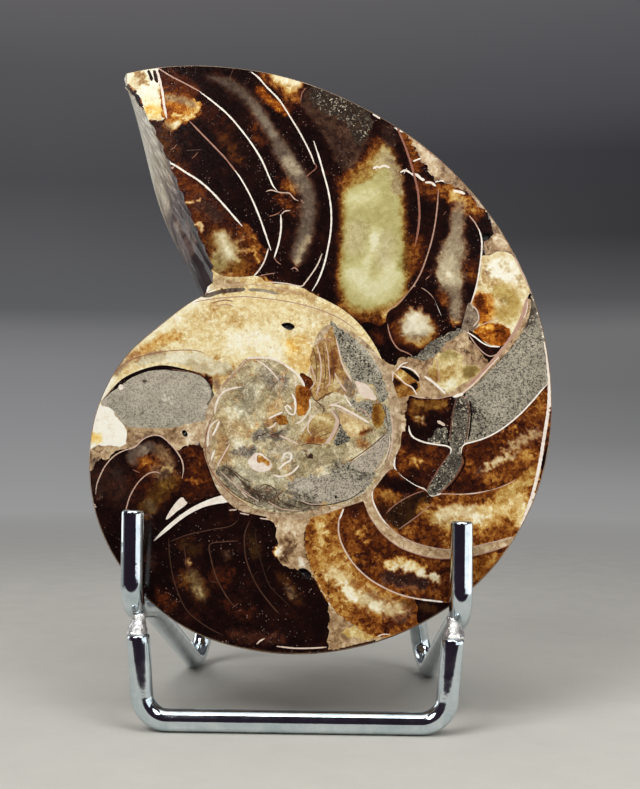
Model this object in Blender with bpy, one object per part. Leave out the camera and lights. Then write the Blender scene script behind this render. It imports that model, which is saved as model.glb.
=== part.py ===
"""A cut and polished nautiloid half, leaning in its chrome wire display stand.

Units are metres, +Z is up, and the cut face looks along -Y. The origin is on the ground, under the middle
of the front foot wire.
"""

import math

import bmesh
import bpy
from mathutils import Matrix, Vector

MM = 0.001
TOWARDS_VIEWER = Vector((0, -1, 0))
GAP = 0.3 * MM  # clearance between touching pieces

# ---- stand ----
WIRE_RADIUS = 2.0 * MM  # of 4 mm wire
WIRE_SIDES = 12
FINGER_X = {"left": -29.05 * MM, "right": 28.8 * MM}
FINGER_Y = 1.0 * MM
FINGER_TOP = {"left": 38.6 * MM, "right": 37.3 * MM}
ELBOW_Z = 21.1 * MM
ELBOW_BEND = 5.5 * MM
LEFT_RAIL_KINK = (-27.75 * MM, 16.0 * MM, 19.0 * MM)  # where the left rail starts to fall more steeply
RAIL_BEND = 30.0 * MM
REAR_FOOT = {"left": (-23.5 * MM, 64.0 * MM), "right": (26.3 * MM, 56.5 * MM)}
REAR_BEND = 5.0 * MM
BACKREST_TOP = {"left": (-17.0 * MM, 43.6 * MM), "right": (15.0 * MM, 43.6 * MM)}
BACKREST_TOP_Z = 66.0 * MM
BACKREST_BEND = 9.0 * MM
FOOT_X = {"left": -26.65 * MM, "right": 26.1 * MM}  # at the ground
FOOT_TOP_X = {"left": -27.7 * MM, "right": 27.35 * MM}
FOOT_TOP_Z = 17.0 * MM
FOOT_BEND = 4.7 * MM
BEND_STEP = 10.0  # degrees turned by one piece of a bend
STRAIGHT_STEP = 8.0 * MM  # length of one straight stretch of the wire meshes
WELD_HALF_SIZE = (1.9 * MM, 2.3 * MM, 2.2 * MM)
WELD_PLACE = {"left": (-27.95 * MM, 0.4 * MM, 19.0 * MM), "right": (27.7 * MM, 0.4 * MM, 19.0 * MM)}
WELD_LUMPS = 0.06  # how uneven the beads are, as a share of their size
SEAT_CLEARANCE = 2 * GAP
CHROME_COLOUR = (0.62, 0.64, 0.68, 1.0)

# ---- fossil, measured in its cut face: u to the right, v up the face, w back from the face ----
LEAN = math.radians(10.0)
FACE_ORIGIN = Vector((0.0, 4.0 * MM, 21.1 * MM))
SPIRAL_CENTRE = (-8.0 * MM, 32.0 * MM)
FIRST_ANGLE = 112.0  # degrees round the spiral centre, where the last whorl leaves the notch
LAST_ANGLE = 471.0  # the tip of the broken end
VENTER_STEP = 20.0  # degrees between the radii below
VENTER_MM = (27.6, 26.9, 28.2, 29.6, 31.1, 33.1, 35.2, 37.6, 39.6, 42.3, 45.8, 49.6, 52.65, 55.0, 57.9, 61.4,
             65.5, 70.5, 74.7)
BROKEN_EDGE_MM = ((-33.7, 97.2), (-30.7, 93.1), (-27.4, 86.6), (-24.9, 80.9), (-22.0, 74.1), (-18.4, 65.7),
                  (-16.9, 61.6))
SWELL = 0.44  # half thickness as a share of the radius
FLANK = 0.38  # share of the radius at which the half is thickest
FLANK_POWER = 2.2  # 2 would make an ellipse of the section, more makes it squarer
UMBILICUS_DEPTH = 8.0 * MM  # thickness left under the umbilicus
END_OVERHANG = 4.0 * MM  # how far the broken end reaches out behind the cut face
END_OVERHANG_AT = 0.74
END_OVERHANG_SPREAD = 0.22
AROUND = 120  # profiles round the spiral
ACROSS = 13  # points on each profile
STONE_COLOUR = (0.16, 0.055, 0.02, 1.0)


def clear_objects():
    for item in list(bpy.data.objects):
        bpy.data.objects.remove(item, do_unlink=True)


def principled(name, colour, roughness, metallic):
    material = bpy.data.materials.new(name)
    material.use_nodes = True
    shader = material.node_tree.nodes["Principled BSDF"]
    shader.inputs["Base Color"].default_value = colour
    shader.inputs["Roughness"].default_value = roughness
    shader.inputs["Metallic"].default_value = metallic
    return material


def new_object(name, bm, material):
    """A smooth-shaded object from a bmesh, with its faces pointing out."""
    bmesh.ops.recalc_face_normals(bm, faces=bm.faces[:])
    mesh = bpy.data.meshes.new(name)
    bm.to_mesh(mesh)
    bm.free()
    mesh.shade_smooth()
    mesh.set_sharp_from_angle(angle=math.radians(35.0))
    item = bpy.data.objects.new(name, mesh)
    bpy.context.scene.collection.objects.link(item)
    item.data.materials.append(material)
    return item


# ---- wires ----


def straight(start, end):
    """Points from start to end, without the end point."""
    count = max(1, round((end - start).length / STRAIGHT_STEP))
    return [start.lerp(end, i / count) for i in range(count)]


def bent_path(corners, radii):
    """The centre line through the corners, with each inner corner rounded to its bend radius."""
    points = []
    start = corners[0]
    for before, corner, after, radius in zip(corners, corners[1:], corners[2:], radii):
        into = (before - corner).normalized()
        onward = (after - corner).normalized()
        turn = math.pi - into.angle(onward)
        reach = radius * math.tan(turn / 2)
        centre = corner + (into + onward).normalized() * (radius / math.cos(turn / 2))
        first = corner + into * reach
        axis = (first - centre).cross(-into).normalized()
        points += straight(start, first)
        steps = max(3, math.ceil(math.degrees(turn) / BEND_STEP))
        points += [centre + Matrix.Rotation(turn * i / steps, 3, axis) @ (first - centre) for i in range(steps)]
        start = corner + onward * reach
    return points + straight(start, corners[-1]) + [corners[-1]]


def tube(points, radius, side):
    """A closed tube round the points. side is the direction that its first facet faces."""
    bm = bmesh.new()
    rings = []
    for i, point in enumerate(points):
        ahead = points[min(i + 1, len(points) - 1)]
        behind = points[max(i - 1, 0)]
        along = (ahead - behind).normalized()
        side = (side - along * side.dot(along)).normalized()
        across = along.cross(side)
        ring = []
        for k in range(WIRE_SIDES):
            angle = 2 * math.pi * (k + 0.5) / WIRE_SIDES
            ring.append(bm.verts.new(point + radius * (math.cos(angle) * side + math.sin(angle) * across)))
        rings.append(ring)
    for ring, following in zip(rings, rings[1:]):
        for k in range(WIRE_SIDES):
            other = (k + 1) % WIRE_SIDES
            bm.faces.new((ring[k], ring[other], following[other], following[k]))
    bm.faces.new(rings[0])
    bm.faces.new(rings[-1])
    return bm


def rear_corner(side, rail_start):
    """The corner of the rear foot, lowered so that the rounded bend just touches the ground."""
    x, y = REAR_FOOT[side]
    top = Vector((*BACKREST_TOP[side], BACKREST_TOP_Z))
    height = 0.0
    for _ in range(4):
        corner = Vector((x, y, height))
        lowest = min(point.z for point in bent_path([rail_start, corner, top], [REAR_BEND]))
        height += WIRE_RADIUS - lowest
    return Vector((x, y, height))


def side_corners(side):
    """Corners and bend radii of one side of the cradle, from the finger tip to the backrest."""
    elbow = Vector((FINGER_X[side], FINGER_Y, ELBOW_Z))
    rail = [Vector(LEFT_RAIL_KINK)] if side == "left" else []
    rear = rear_corner(side, ([elbow] + rail)[-1])
    tip = Vector((FINGER_X[side], FINGER_Y, FINGER_TOP[side]))
    top = Vector((*BACKREST_TOP[side], BACKREST_TOP_Z))
    return [tip, elbow, *rail, rear, top], [ELBOW_BEND] + [RAIL_BEND] * len(rail) + [REAR_BEND, BACKREST_BEND]


def cradle_path():
    """From the tip of the left finger, round the back, to the tip of the right finger."""
    left, left_bends = side_corners("left")
    right, right_bends = side_corners("right")
    return bent_path(left + right[::-1], left_bends + right_bends[::-1])


def foot_path(beyond=0.0):
    """The front foot, with each leg going on past its end by the given length."""
    corners = []
    for side in ("left", "right"):
        bottom = Vector((FOOT_X[side], 0.0, WIRE_RADIUS))
        top = Vector((FOOT_TOP_X[side], 0.0, FOOT_TOP_Z))
        corners.append([top + (top - bottom).normalized() * beyond, bottom])
    left, right = corners
    return bent_path(left + right[::-1], [FOOT_BEND, FOOT_BEND])


def make_cradle_wire(material):
    return new_object("cradle_wire", tube(cradle_path(), WIRE_RADIUS, TOWARDS_VIEWER), material)


def make_front_foot_wire(material):
    facet_radius = WIRE_RADIUS / math.cos(math.pi / WIRE_SIDES)  # puts a flat facet on the ground
    return new_object("front_foot_wire", tube(foot_path(), facet_radius, TOWARDS_VIEWER), material)


def weld_cutter(name, path, material):
    """A wire with the clearance added, which cuts its seat into a weld bead."""
    cutter = new_object(name, tube(path, WIRE_RADIUS + SEAT_CLEARANCE, TOWARDS_VIEWER), material)
    cutter.hide_render = True
    cutter.display_type = "WIRE"
    return cutter


def make_weld_bead(side, cutters, material):
    bm = bmesh.new()
    bmesh.ops.create_uvsphere(bm, u_segments=20, v_segments=12, radius=1.0)
    half_x, half_y, half_z = WELD_HALF_SIZE
    phase = 2.0 if side == "left" else 4.0
    for vert in bm.verts:
        lump = 1 + WELD_LUMPS * math.sin(5 * vert.co.x + phase) * math.cos(4 * vert.co.y + vert.co.z)
        vert.co = Vector((half_x * vert.co.x, half_y * vert.co.y, half_z * vert.co.z)) * lump
    bead = new_object("weld_bead_" + side, bm, material)
    bead.location = WELD_PLACE[side]
    for cutter in cutters:
        cut = bead.modifiers.new(cutter.name, "BOOLEAN")
        cut.operation = "DIFFERENCE"
        cut.object = cutter
    return bead


# ---- fossil ----


def venter_radius(angle):
    """Radius of the outline round the spiral centre, smoothly through the listed radii."""
    place = (angle - FIRST_ANGLE) / VENTER_STEP
    i = min(max(int(place), 0), len(VENTER_MM) - 2)
    t = place - i
    before = VENTER_MM[max(i - 1, 0)]
    here = VENTER_MM[i]
    following = VENTER_MM[i + 1]
    beyond = VENTER_MM[min(i + 2, len(VENTER_MM) - 1)]
    slope_in = (following - before) / 2
    slope_out = (beyond - here) / 2
    radius = (
        here * (2 * t**3 - 3 * t**2 + 1)
        + following * (3 * t**2 - 2 * t**3)
        + slope_in * (t**3 - 2 * t**2 + t)
        + slope_out * (t**3 - t**2)
    )
    return radius * MM


def half_thickness(share, radius):
    """Depth of the back behind the cut face, at a share of the radius."""
    full = SWELL * radius
    if share >= FLANK:
        outward = (share - FLANK) / (1 - FLANK)
        return full * math.sqrt(max(0.0, 1 - outward**FLANK_POWER))
    return UMBILICUS_DEPTH + (full - UMBILICUS_DEPTH) * math.sin(math.pi / 2 * share / FLANK)


def profile(angle, overhang):
    """Points (u, v, w) of one radial section, from the cut face over the back to the spiral centre."""
    radius = venter_radius(angle)
    outward = Vector((math.cos(math.radians(angle)), math.sin(math.radians(angle)), 0))
    forward = Vector((-outward.y, outward.x, 0))
    points = []
    for k in range(ACROSS):
        share = math.cos(math.pi / 2 * k / ACROSS)  # close together near the cut face
        shift = overhang * math.exp(-(((share - END_OVERHANG_AT) / END_OVERHANG_SPREAD) ** 2)) if k else 0.0
        point = outward * radius * share + forward * shift
        points.append(Vector((SPIRAL_CENTRE[0] + point.x, SPIRAL_CENTRE[1] + point.y, half_thickness(share, radius))))
    return points


def to_world(point):
    """From the face's own u, v, w to the world."""
    u, v, w = point
    along_u = Vector((1, 0, 0))
    along_v = Vector((0, math.sin(LEAN), math.cos(LEAN)))
    along_w = Vector((0, math.cos(LEAN), -math.sin(LEAN)))
    return FACE_ORIGIN + u * along_u + v * along_v + w * along_w


def make_nautiloid_half(material):
    bm = bmesh.new()
    sections = []
    for i in range(AROUND + 1):
        angle = FIRST_ANGLE + (LAST_ANGLE - FIRST_ANGLE) * i / AROUND
        overhang = END_OVERHANG if i == AROUND else 0.0
        sections.append([bm.verts.new(to_world(point)) for point in profile(angle, overhang)])
    umbilicus = bm.verts.new(to_world((*SPIRAL_CENTRE, UMBILICUS_DEPTH)))
    for section, following in zip(sections, sections[1:]):
        for k in range(ACROSS - 1):
            bm.faces.new((section[k], section[k + 1], following[k + 1], following[k]))
        bm.faces.new((section[-1], umbilicus, following[-1]))
    edge = [bm.verts.new(to_world((u * MM, v * MM, 0.0))) for u, v in BROKEN_EDGE_MM]
    bm.faces.new([section[0] for section in sections] + edge)
    wall_far = sections[-1] + [umbilicus]
    wall_near = [sections[-1][0]] + edge + sections[0] + [umbilicus]
    fill_between(bm, wall_far, wall_near)
    return new_object("nautiloid_half", bm, material)


def fill_between(bm, one, other):
    """Triangles between two chains of vertices that start and end together."""
    i = 0
    j = 0
    while i < len(one) - 1 or j < len(other) - 1:
        step_one = i < len(one) - 1 and (
            j == len(other) - 1 or (i + 1) / (len(one) - 1) <= (j + 1) / (len(other) - 1)
        )
        corners = [one[i], other[j], one[i + 1] if step_one else other[j + 1]]
        i += step_one
        j += not step_one
        if len(set(corners)) == 3:
            bm.faces.new(corners)


def main():
    clear_objects()
    chrome = principled("chrome", CHROME_COLOUR, 0.08, 1.0)
    stone = principled("polished_fossil", STONE_COLOUR, 0.12, 0.0)
    make_nautiloid_half(stone)
    make_cradle_wire(chrome)
    make_front_foot_wire(chrome)
    cutters = [weld_cutter("cradle_seat", cradle_path(), chrome), weld_cutter("foot_seat", foot_path(GAP), chrome)]
    for side in ("left", "right"):
        make_weld_bead(side, cutters, chrome)


main()
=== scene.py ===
"""The looks of a cut and polished nautiloid half, leaning in its chrome wire stand.

Lengths are in mm until a mesh is made. The cut face has its own axes: u to the right, v up the face and
w back into the stone, from the face's origin.
"""

import math

import bmesh
import bpy
import numpy as np
from mathutils import Matrix, Vector
from mathutils.geometry import delaunay_2d_cdt
from mathutils.kdtree import KDTree


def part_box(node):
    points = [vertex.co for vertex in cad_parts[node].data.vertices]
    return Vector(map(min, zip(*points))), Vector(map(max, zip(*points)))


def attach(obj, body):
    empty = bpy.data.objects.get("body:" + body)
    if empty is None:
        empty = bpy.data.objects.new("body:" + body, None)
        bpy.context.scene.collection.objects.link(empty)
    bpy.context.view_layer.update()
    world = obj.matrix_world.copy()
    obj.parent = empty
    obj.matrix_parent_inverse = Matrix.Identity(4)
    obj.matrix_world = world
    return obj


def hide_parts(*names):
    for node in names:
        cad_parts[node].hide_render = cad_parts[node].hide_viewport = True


MM = 0.001

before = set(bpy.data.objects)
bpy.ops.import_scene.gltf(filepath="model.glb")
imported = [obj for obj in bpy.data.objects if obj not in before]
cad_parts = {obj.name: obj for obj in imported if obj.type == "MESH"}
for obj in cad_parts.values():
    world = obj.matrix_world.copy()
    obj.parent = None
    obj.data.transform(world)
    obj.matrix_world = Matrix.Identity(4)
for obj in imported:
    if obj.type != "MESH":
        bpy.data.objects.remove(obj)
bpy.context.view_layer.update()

# ---- the fossil's form, as in the CAD part ----
LEAN = math.radians(10.0)
FACE_REACH_LEFT = 38.46  # from the face's origin to the left edge of the fossil's box
FACE_FRONT = 4.0 * MM  # where the face's origin lies along Y
SPIRAL_CENTRE = np.array((-8.0, 32.0))
FIRST_ANGLE = 112.0  # degrees round the spiral centre, where the last whorl leaves the notch
LAST_ANGLE = 471.0  # the tip of the broken end
VENTER_STEP = 20.0  # degrees between the radii below
VENTER = (27.6, 26.9, 28.2, 29.6, 31.1, 33.1, 35.2, 37.6, 39.6, 42.3, 45.8, 49.6, 52.65, 55.0, 57.9, 61.4,
          65.5, 70.5, 74.7)
BROKEN_EDGE = ((-34.7, 99.3), (-33.7, 97.2), (-30.7, 93.1), (-27.4, 86.6), (-24.9, 80.9), (-22.0, 74.1),
               (-18.4, 65.7), (-16.9, 61.6))
SWELL = 0.44  # half thickness as a share of the radius
FLANK = 0.38  # share of the radius at which the half is thickest
FLANK_POWER = 2.2
UMBILICUS_DEPTH = 8.0
END_OVERHANG = 3.2
END_OVERHANG_AT = 0.74
END_OVERHANG_SPREAD = 0.22

# ---- the fossil's fineness ----
AROUND = 540  # profiles round the spiral
PROFILE_ANGLES = np.linspace(FIRST_ANGLE, LAST_ANGLE, AROUND + 1)
ACROSS = 36  # points on each profile
FACE_STEP = 0.42  # spacing of the points on the cut face
CURVE_STEP = 0.4  # spacing of the points along its lines
VENTER_SHARE = 0.9997  # keeps the rim a hair inside the CAD rim
ARRIS_IN = 0.22  # the worn edge between the face and the outside
ARRIS_BACK = 0.3
GRID_GAP = 0.62  # the grid keeps this share of its step clear of the lines
MERGE = 0.0005  # lines that come this close are joined
WALL_COLUMNS = 260
WALL_ROWS = 26  # from the broken edge on the cut face to the outside
RIB_ANGLE = 3.4  # degrees from one rib of the shell to the next
RIB_HEIGHT = 0.28
RIB_SWEEP = 16.0  # degrees by which the ribs bend back from the rim to the middle
WEAR_DEPTH = 0.25
BREAK_SHARE = 8 / 21  # of the broken end's rim that runs down the cut face; the rest goes round the back
BREAK_BUMP = 0.3
OVERHANG_SPAN = (LAST_ANGLE - FIRST_ANGLE) / 72  # degrees before the tip where the end starts to lean out
SHARP_ANGLE = math.radians(38)  # edges that turn by more than this are drawn sharp

KINDS = ("calcite", "rubble", "sediment", "matrix", "shell", "cavity", "nacre", "outer_shell")
CRYSTAL = ("calcite", "rubble")
CHANNELS = ("glow", "green", "milk", "honey")
DARK_GLOW = 0.05  # of the near-black calcite that fills the face before anything is laid on it
LINE_SHARE = 0.74  # of the widths given for the septa
STRIP_UNEVEN = 0.12  # how much a strip's width varies along it
STRIP_TAPER = 7.0  # how fast it widens from its ends, as shares of its width over its whole length
TINT_STEP = 1.0  # spacing of the points along a tint's line, and below along outlines
FILL_STEP = 0.8
PIT_STEP = 0.2
PIT_RINGS = (1.0, 0.86, 0.6)  # rings of points down a pit's side, as shares of its outline
PIT_WALL = 0.35
TINT_CORE = 0.8  # a tint starts to fade at this share of its reach
TINT_FADE = 1.25  # and is gone this many times its soft distance past it
RAGGED_SIZE = 2.1  # from one bulge of a ragged edge to the next
RAGGED_SHARE = 0.6
TINY = 1e-9  # keeps a length of nought out of a division


# ---- curves ----


def smooth(points, step=CURVE_STEP, closed=False):
    """A curve through the points, with a point about every step."""
    points = np.array(points, float)
    if len(points) < 3:
        count = max(1, int(np.hypot(*(points[-1] - points[0])) / step))
        return points[0] + np.linspace(0, 1, count + 1)[:, None] * (points[-1] - points[0])
    if closed:
        points = np.vstack((points[-1], points, points[:2]))
    else:
        points = np.vstack((2 * points[0] - points[1], points, 2 * points[-1] - points[-2]))
    curve = []
    for before, here, onward, beyond in zip(points, points[1:], points[2:], points[3:]):
        count = max(1, int(round(np.hypot(*(onward - here)) / step)))
        t = np.arange(count)[:, None] / count
        curve.append(
            here
            + t * (onward - before) / 2
            + t**2 * (2 * before - 5 * here + 4 * onward - beyond) / 2
            + t**3 * (3 * here - before - 3 * onward + beyond) / 2
        )
    if not closed:
        curve.append(points[-2:-1])
    return np.vstack(curve)


def wander(places, amount, size=1.6):
    """The places shifted irregularly, the same way each run."""
    x, y = (places * 2 * math.pi / size).T
    shift_x = np.sin(x + 1.7 * np.sin(0.61 * y + 2)) + 0.6 * np.sin(2.3 * y - 1.1 * x + 1)
    shift_y = np.sin(y + 1.9 * np.sin(0.53 * x + 4)) + 0.6 * np.sin(2.1 * x + 1.3 * y)
    shift_x += 0.4 * np.sin(4.1 * x + 5)
    shift_y += 0.4 * np.sin(4.7 * y + 3)
    return places + amount / 2 * np.stack((shift_x, shift_y), 1)


def band(points, width, thin):
    """The outline of a strip along a curve. It thins to these shares of its width at its two ends."""
    line = smooth(points)
    along = np.gradient(line, axis=0)
    along /= np.hypot(*along.T)[:, None] + TINY
    across = np.stack((-along[:, 1], along[:, 0]), 1)
    place = np.linspace(0, 1, len(line))
    half = width / 2 * (1 + STRIP_UNEVEN * np.sin(9 * line[:, 0] + 5 * line[:, 1]))
    for share, from_end in zip(thin, (place, 1 - place)):
        half *= np.minimum(1, share + from_end * STRIP_TAPER)
    return np.vstack((line + across * half[:, None], (line - across * half[:, None])[::-1]))


def inside(places, outline):
    """Whether each place lies inside the closed outline."""
    near = np.flatnonzero(((places > outline.min(0)) & (places < outline.max(0))).all(1))
    x, y = places[near].T
    odd = np.zeros(len(near), bool)
    for (x0, y0), (x1, y1) in zip(outline, np.roll(outline, -1, axis=0)):
        if y0 != y1:
            odd ^= ((y0 > y) != (y1 > y)) & (x < (x1 - x0) * (y - y0) / (y1 - y0) + x0)
    result = np.zeros(len(places), bool)
    result[near] = odd
    return result


def distance(places, line):
    """How far each place is from the line."""
    if len(line) == 1:
        return np.hypot(*(places - line[0]).T)
    nearest = np.full(len(places), np.inf)
    for start, end in zip(line, line[1:]):
        along = end - start
        t = np.clip((places - start) @ along / (along @ along + TINY), 0, 1)
        nearest = np.minimum(nearest, np.hypot(*(places - start - t[:, None] * along).T))
    return nearest


def ease(value, low, high):
    """0 below low, 1 above high, and smooth between them."""
    t = np.clip((value - low) / (high - low), 0, 1)
    return t * t * (3 - 2 * t)


# ---- painting the cut face ----


def closed(line):
    """The outline with its first point again at the end."""
    return np.vstack((line, line[:1]))


class Face:
    """What lies where on the cut face, in the order in which it is laid down."""

    def __init__(self):
        self.steps = []
        self.lines = []

    def area(self, kind, points, wobble=0.0, **channels):
        """A patch of one kind of stone with a sharp edge."""
        outline = smooth(points, closed=True)
        if wobble:
            outline = wander(outline, wobble)
        self.lines.append(outline)
        self.steps.append(("area", outline, kind, channels))

    def line(self, points, width, glow=1.0, kind="shell", thin=(0.35, 0.35), **channels):
        """A thin strip, such as a septum."""
        outline = band(points, width * (LINE_SHARE if kind == "shell" else 1.0), thin)
        self.lines.append(outline)
        self.steps.append(("area", outline, kind, dict(channels, glow=glow)))

    def tint(self, points, reach, soft, on=CRYSTAL, ragged=0.5, amount=1.0, **channels):
        """A soft change along a line or round a spot: full within reach, gone a distance soft past it."""
        line = smooth(points, TINT_STEP) if len(points) > 1 else np.array(points, float)
        self.steps.append(("tint", line, on, channels, reach, soft, ragged, amount))

    def fill(self, points, soft, on=CRYSTAL, ragged=0.5, amount=1.0, **channels):
        """A soft change inside an outline, which fades over the distance soft around it."""
        outline = smooth(points, FILL_STEP, closed=True)
        self.steps.append(("fill", outline, on, channels, 0.0, soft, ragged, amount))

    def pit(self, points, depth):
        """A hole in the face, with steep sides."""
        outline = smooth(points, PIT_STEP, closed=True)
        middle = outline.mean(0)
        self.lines += [middle + (outline - middle) * share for share in PIT_RINGS]
        # the hole takes the cavity finish, whose near black is painted shade
        self.steps.append(("area", outline, "cavity", {"glow": 0.0}))
        self.steps.append(("pit", outline, depth))


def soft_strength(step, places, ragged_places):
    """How strongly a tint or a fill acts at each place, from 0 to 1."""
    name, line, _, _, reach, soft, ragged, amount = step
    gone = reach + TINT_FADE * soft
    near = np.flatnonzero(((places > line.min(0) - gone - 1) & (places < line.max(0) + gone + 1)).all(1))
    spots = places[near] + RAGGED_SHARE * ragged * (ragged_places[near] - places[near])
    if name == "tint":
        mask = 1 - ease(distance(spots, line), TINT_CORE * reach, gone)
    else:
        away = distance(spots, closed(line))
        mask = ease(np.where(inside(spots, line), away, -away), -soft / 2, soft / 2)
    strength = np.zeros(len(places))
    strength[near] = mask * amount
    return strength


def paint(face, places, corners):
    """Plays the face's steps back on a mesh.

    Gives each triangle's kind, each corner's channels, and each place's depth behind the face.
    """
    middles = places[corners].mean(1)
    kinds = np.zeros(len(corners), int)
    values = np.zeros((len(corners), 3, len(CHANNELS)))
    values[:, :, CHANNELS.index("glow")] = DARK_GLOW
    depths = np.zeros(len(places))
    ragged_places = wander(places, 1.0, RAGGED_SIZE)
    for step in face.steps:
        if step[0] == "area":
            _, outline, kind, channels = step
            hit = inside(middles, outline)
            kinds[hit] = KINDS.index(kind)
            values[hit] = [channels.get(name, 0.0) for name in CHANNELS]
        elif step[0] == "pit":
            _, outline, depth = step
            hit = np.flatnonzero(inside(places, outline))
            depths[hit] = depth * ease(distance(places[hit], closed(outline)), 0.0, PIT_WALL)
        else:
            _, _, on, channels, *_ = step
            strength = soft_strength(step, places, ragged_places)
            allowed = np.isin(kinds, [KINDS.index(kind) for kind in on])
            at_corner = np.where(allowed[:, None], strength[corners], 0.0)
            for channel, value in channels.items():
                index = CHANNELS.index(channel)
                values[:, :, index] += at_corner * (value - values[:, :, index])
    return kinds, values, depths


def paint_tip(face):
    """The broken end: cream calcite, an amber patch and the last septum."""
    face.tint([(-27, 101), (-24.6, 99.8), (-21.8, 98)], 0.8, 1.3, glow=0.2, honey=0.3, ragged=0.8)
    face.area("calcite", [(-37, 104), (-29.3, 103.9), (-28.7, 101.6), (-28.2, 99), (-27.6, 96.5),
        (-27.3, 94), (-27, 92.6), (-27.4, 91.9), (-28.2, 91.9), (-29, 92.2), (-29.9, 92), (-30.5, 93.2),
        (-31, 94.4), (-32, 96.9), (-33.5, 98.9), (-37, 101)], wobble=0.3, glow=0.97, milk=0.5)
    for points, reach, soft, glow, milk, honey in (
        ([(-29.7, 94.1), (-28.4, 94)], 0.7, 0.9, 0.8, 0, 1),
        ([(-29.6, 92.6), (-28, 92.6)], 0.2, 0.5, 0.86, 0.2, 0.5),
        ([(-30.6, 96.2), (-28.6, 96)], 0.3, 0.9, 0.97, 0.1, 0.4),
    ):
        face.tint(points, reach, soft, glow=glow, milk=milk, honey=honey)
    face.tint([(-32.4, 101.6), (-31.4, 101), (-31.6, 99.6)], 0.4, 0.7, glow=0.56, milk=0.3, ragged=1.4)
    face.tint([(-33.6, 100.4), (-32.8, 98.6)], 0.3, 0.8, glow=0.86, milk=0.4, ragged=1)
    face.line([(-30.6, 102.4), (-30, 101.2), (-29.6, 100)], 0.6, kind="calcite", glow=0.1)
    face.area("calcite", [(-29.5, 102.3), (-29, 102.2), (-28.5, 100.4), (-28.6, 99.4), (-29.2, 100.4)],
        wobble=0.15, glow=0.14)
    face.area("calcite", [(-28, 99), (-27, 98.6), (-25.7, 98.4), (-23, 97.4), (-21.6, 96.5), (-20.2, 95.7),
        (-20.2, 94.1), (-21, 93.2), (-22.1, 92.4), (-23.9, 91.6), (-24.6, 90.8), (-26.2, 89.7),
        (-26.9, 90.3), (-27.1, 91.8), (-27.5, 94), (-27.8, 96.4)], wobble=0.5, glow=0.5, honey=0.5)
    face.tint([(-27, 98.2), (-25, 97.7), (-22.6, 96.6)], 0.5, 0.9, glow=0.26, honey=0.5)
    face.tint([(-26.4, 96.6), (-24, 96.2), (-21.8, 95.3)], 0.2, 0.9, glow=0.56, green=0.4, milk=0.5,
        honey=0.1)
    face.tint([(-26, 94.2), (-23.8, 94.1)], 0.5, 1, glow=0.42, honey=0.9)
    face.tint([(-20.5, 95), (-20.7, 93.8), (-21.8, 92.8), (-23, 92)], 0.15, 0.7, glow=0.74, honey=0.2)
    face.tint([(-24.4, 91.3), (-26, 90.4), (-26.6, 91.2)], 0.4, 0.5, glow=0.95, milk=0.3, honey=0)
    face.tint([(-25.4, 93.1), (-23.6, 93), (-22.4, 92.5)], 0.1, 0.25, glow=0.82, honey=0)
    face.line([(-29, 102.6), (-28.5, 101.4), (-28.1, 100), (-27.5, 97.5), (-27, 94.5), (-26.5, 92.3)], 0.62,
        glow=0.95, thin=(0.5, 0.2))
    face.tint([(-27.6, 89.6), (-26.6, 87.4), (-25.4, 85.6)], 0.8, 2, glow=0.24, green=0.3)
    face.line([(-25.6, 86), (-24.9, 86.4), (-24.4, 87.1)], 0.2, glow=0.5)
    face.line([(-21.4, 84.3), (-20.9, 84.8), (-20.3, 85.6)], 0.18, glow=0.45)


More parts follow.
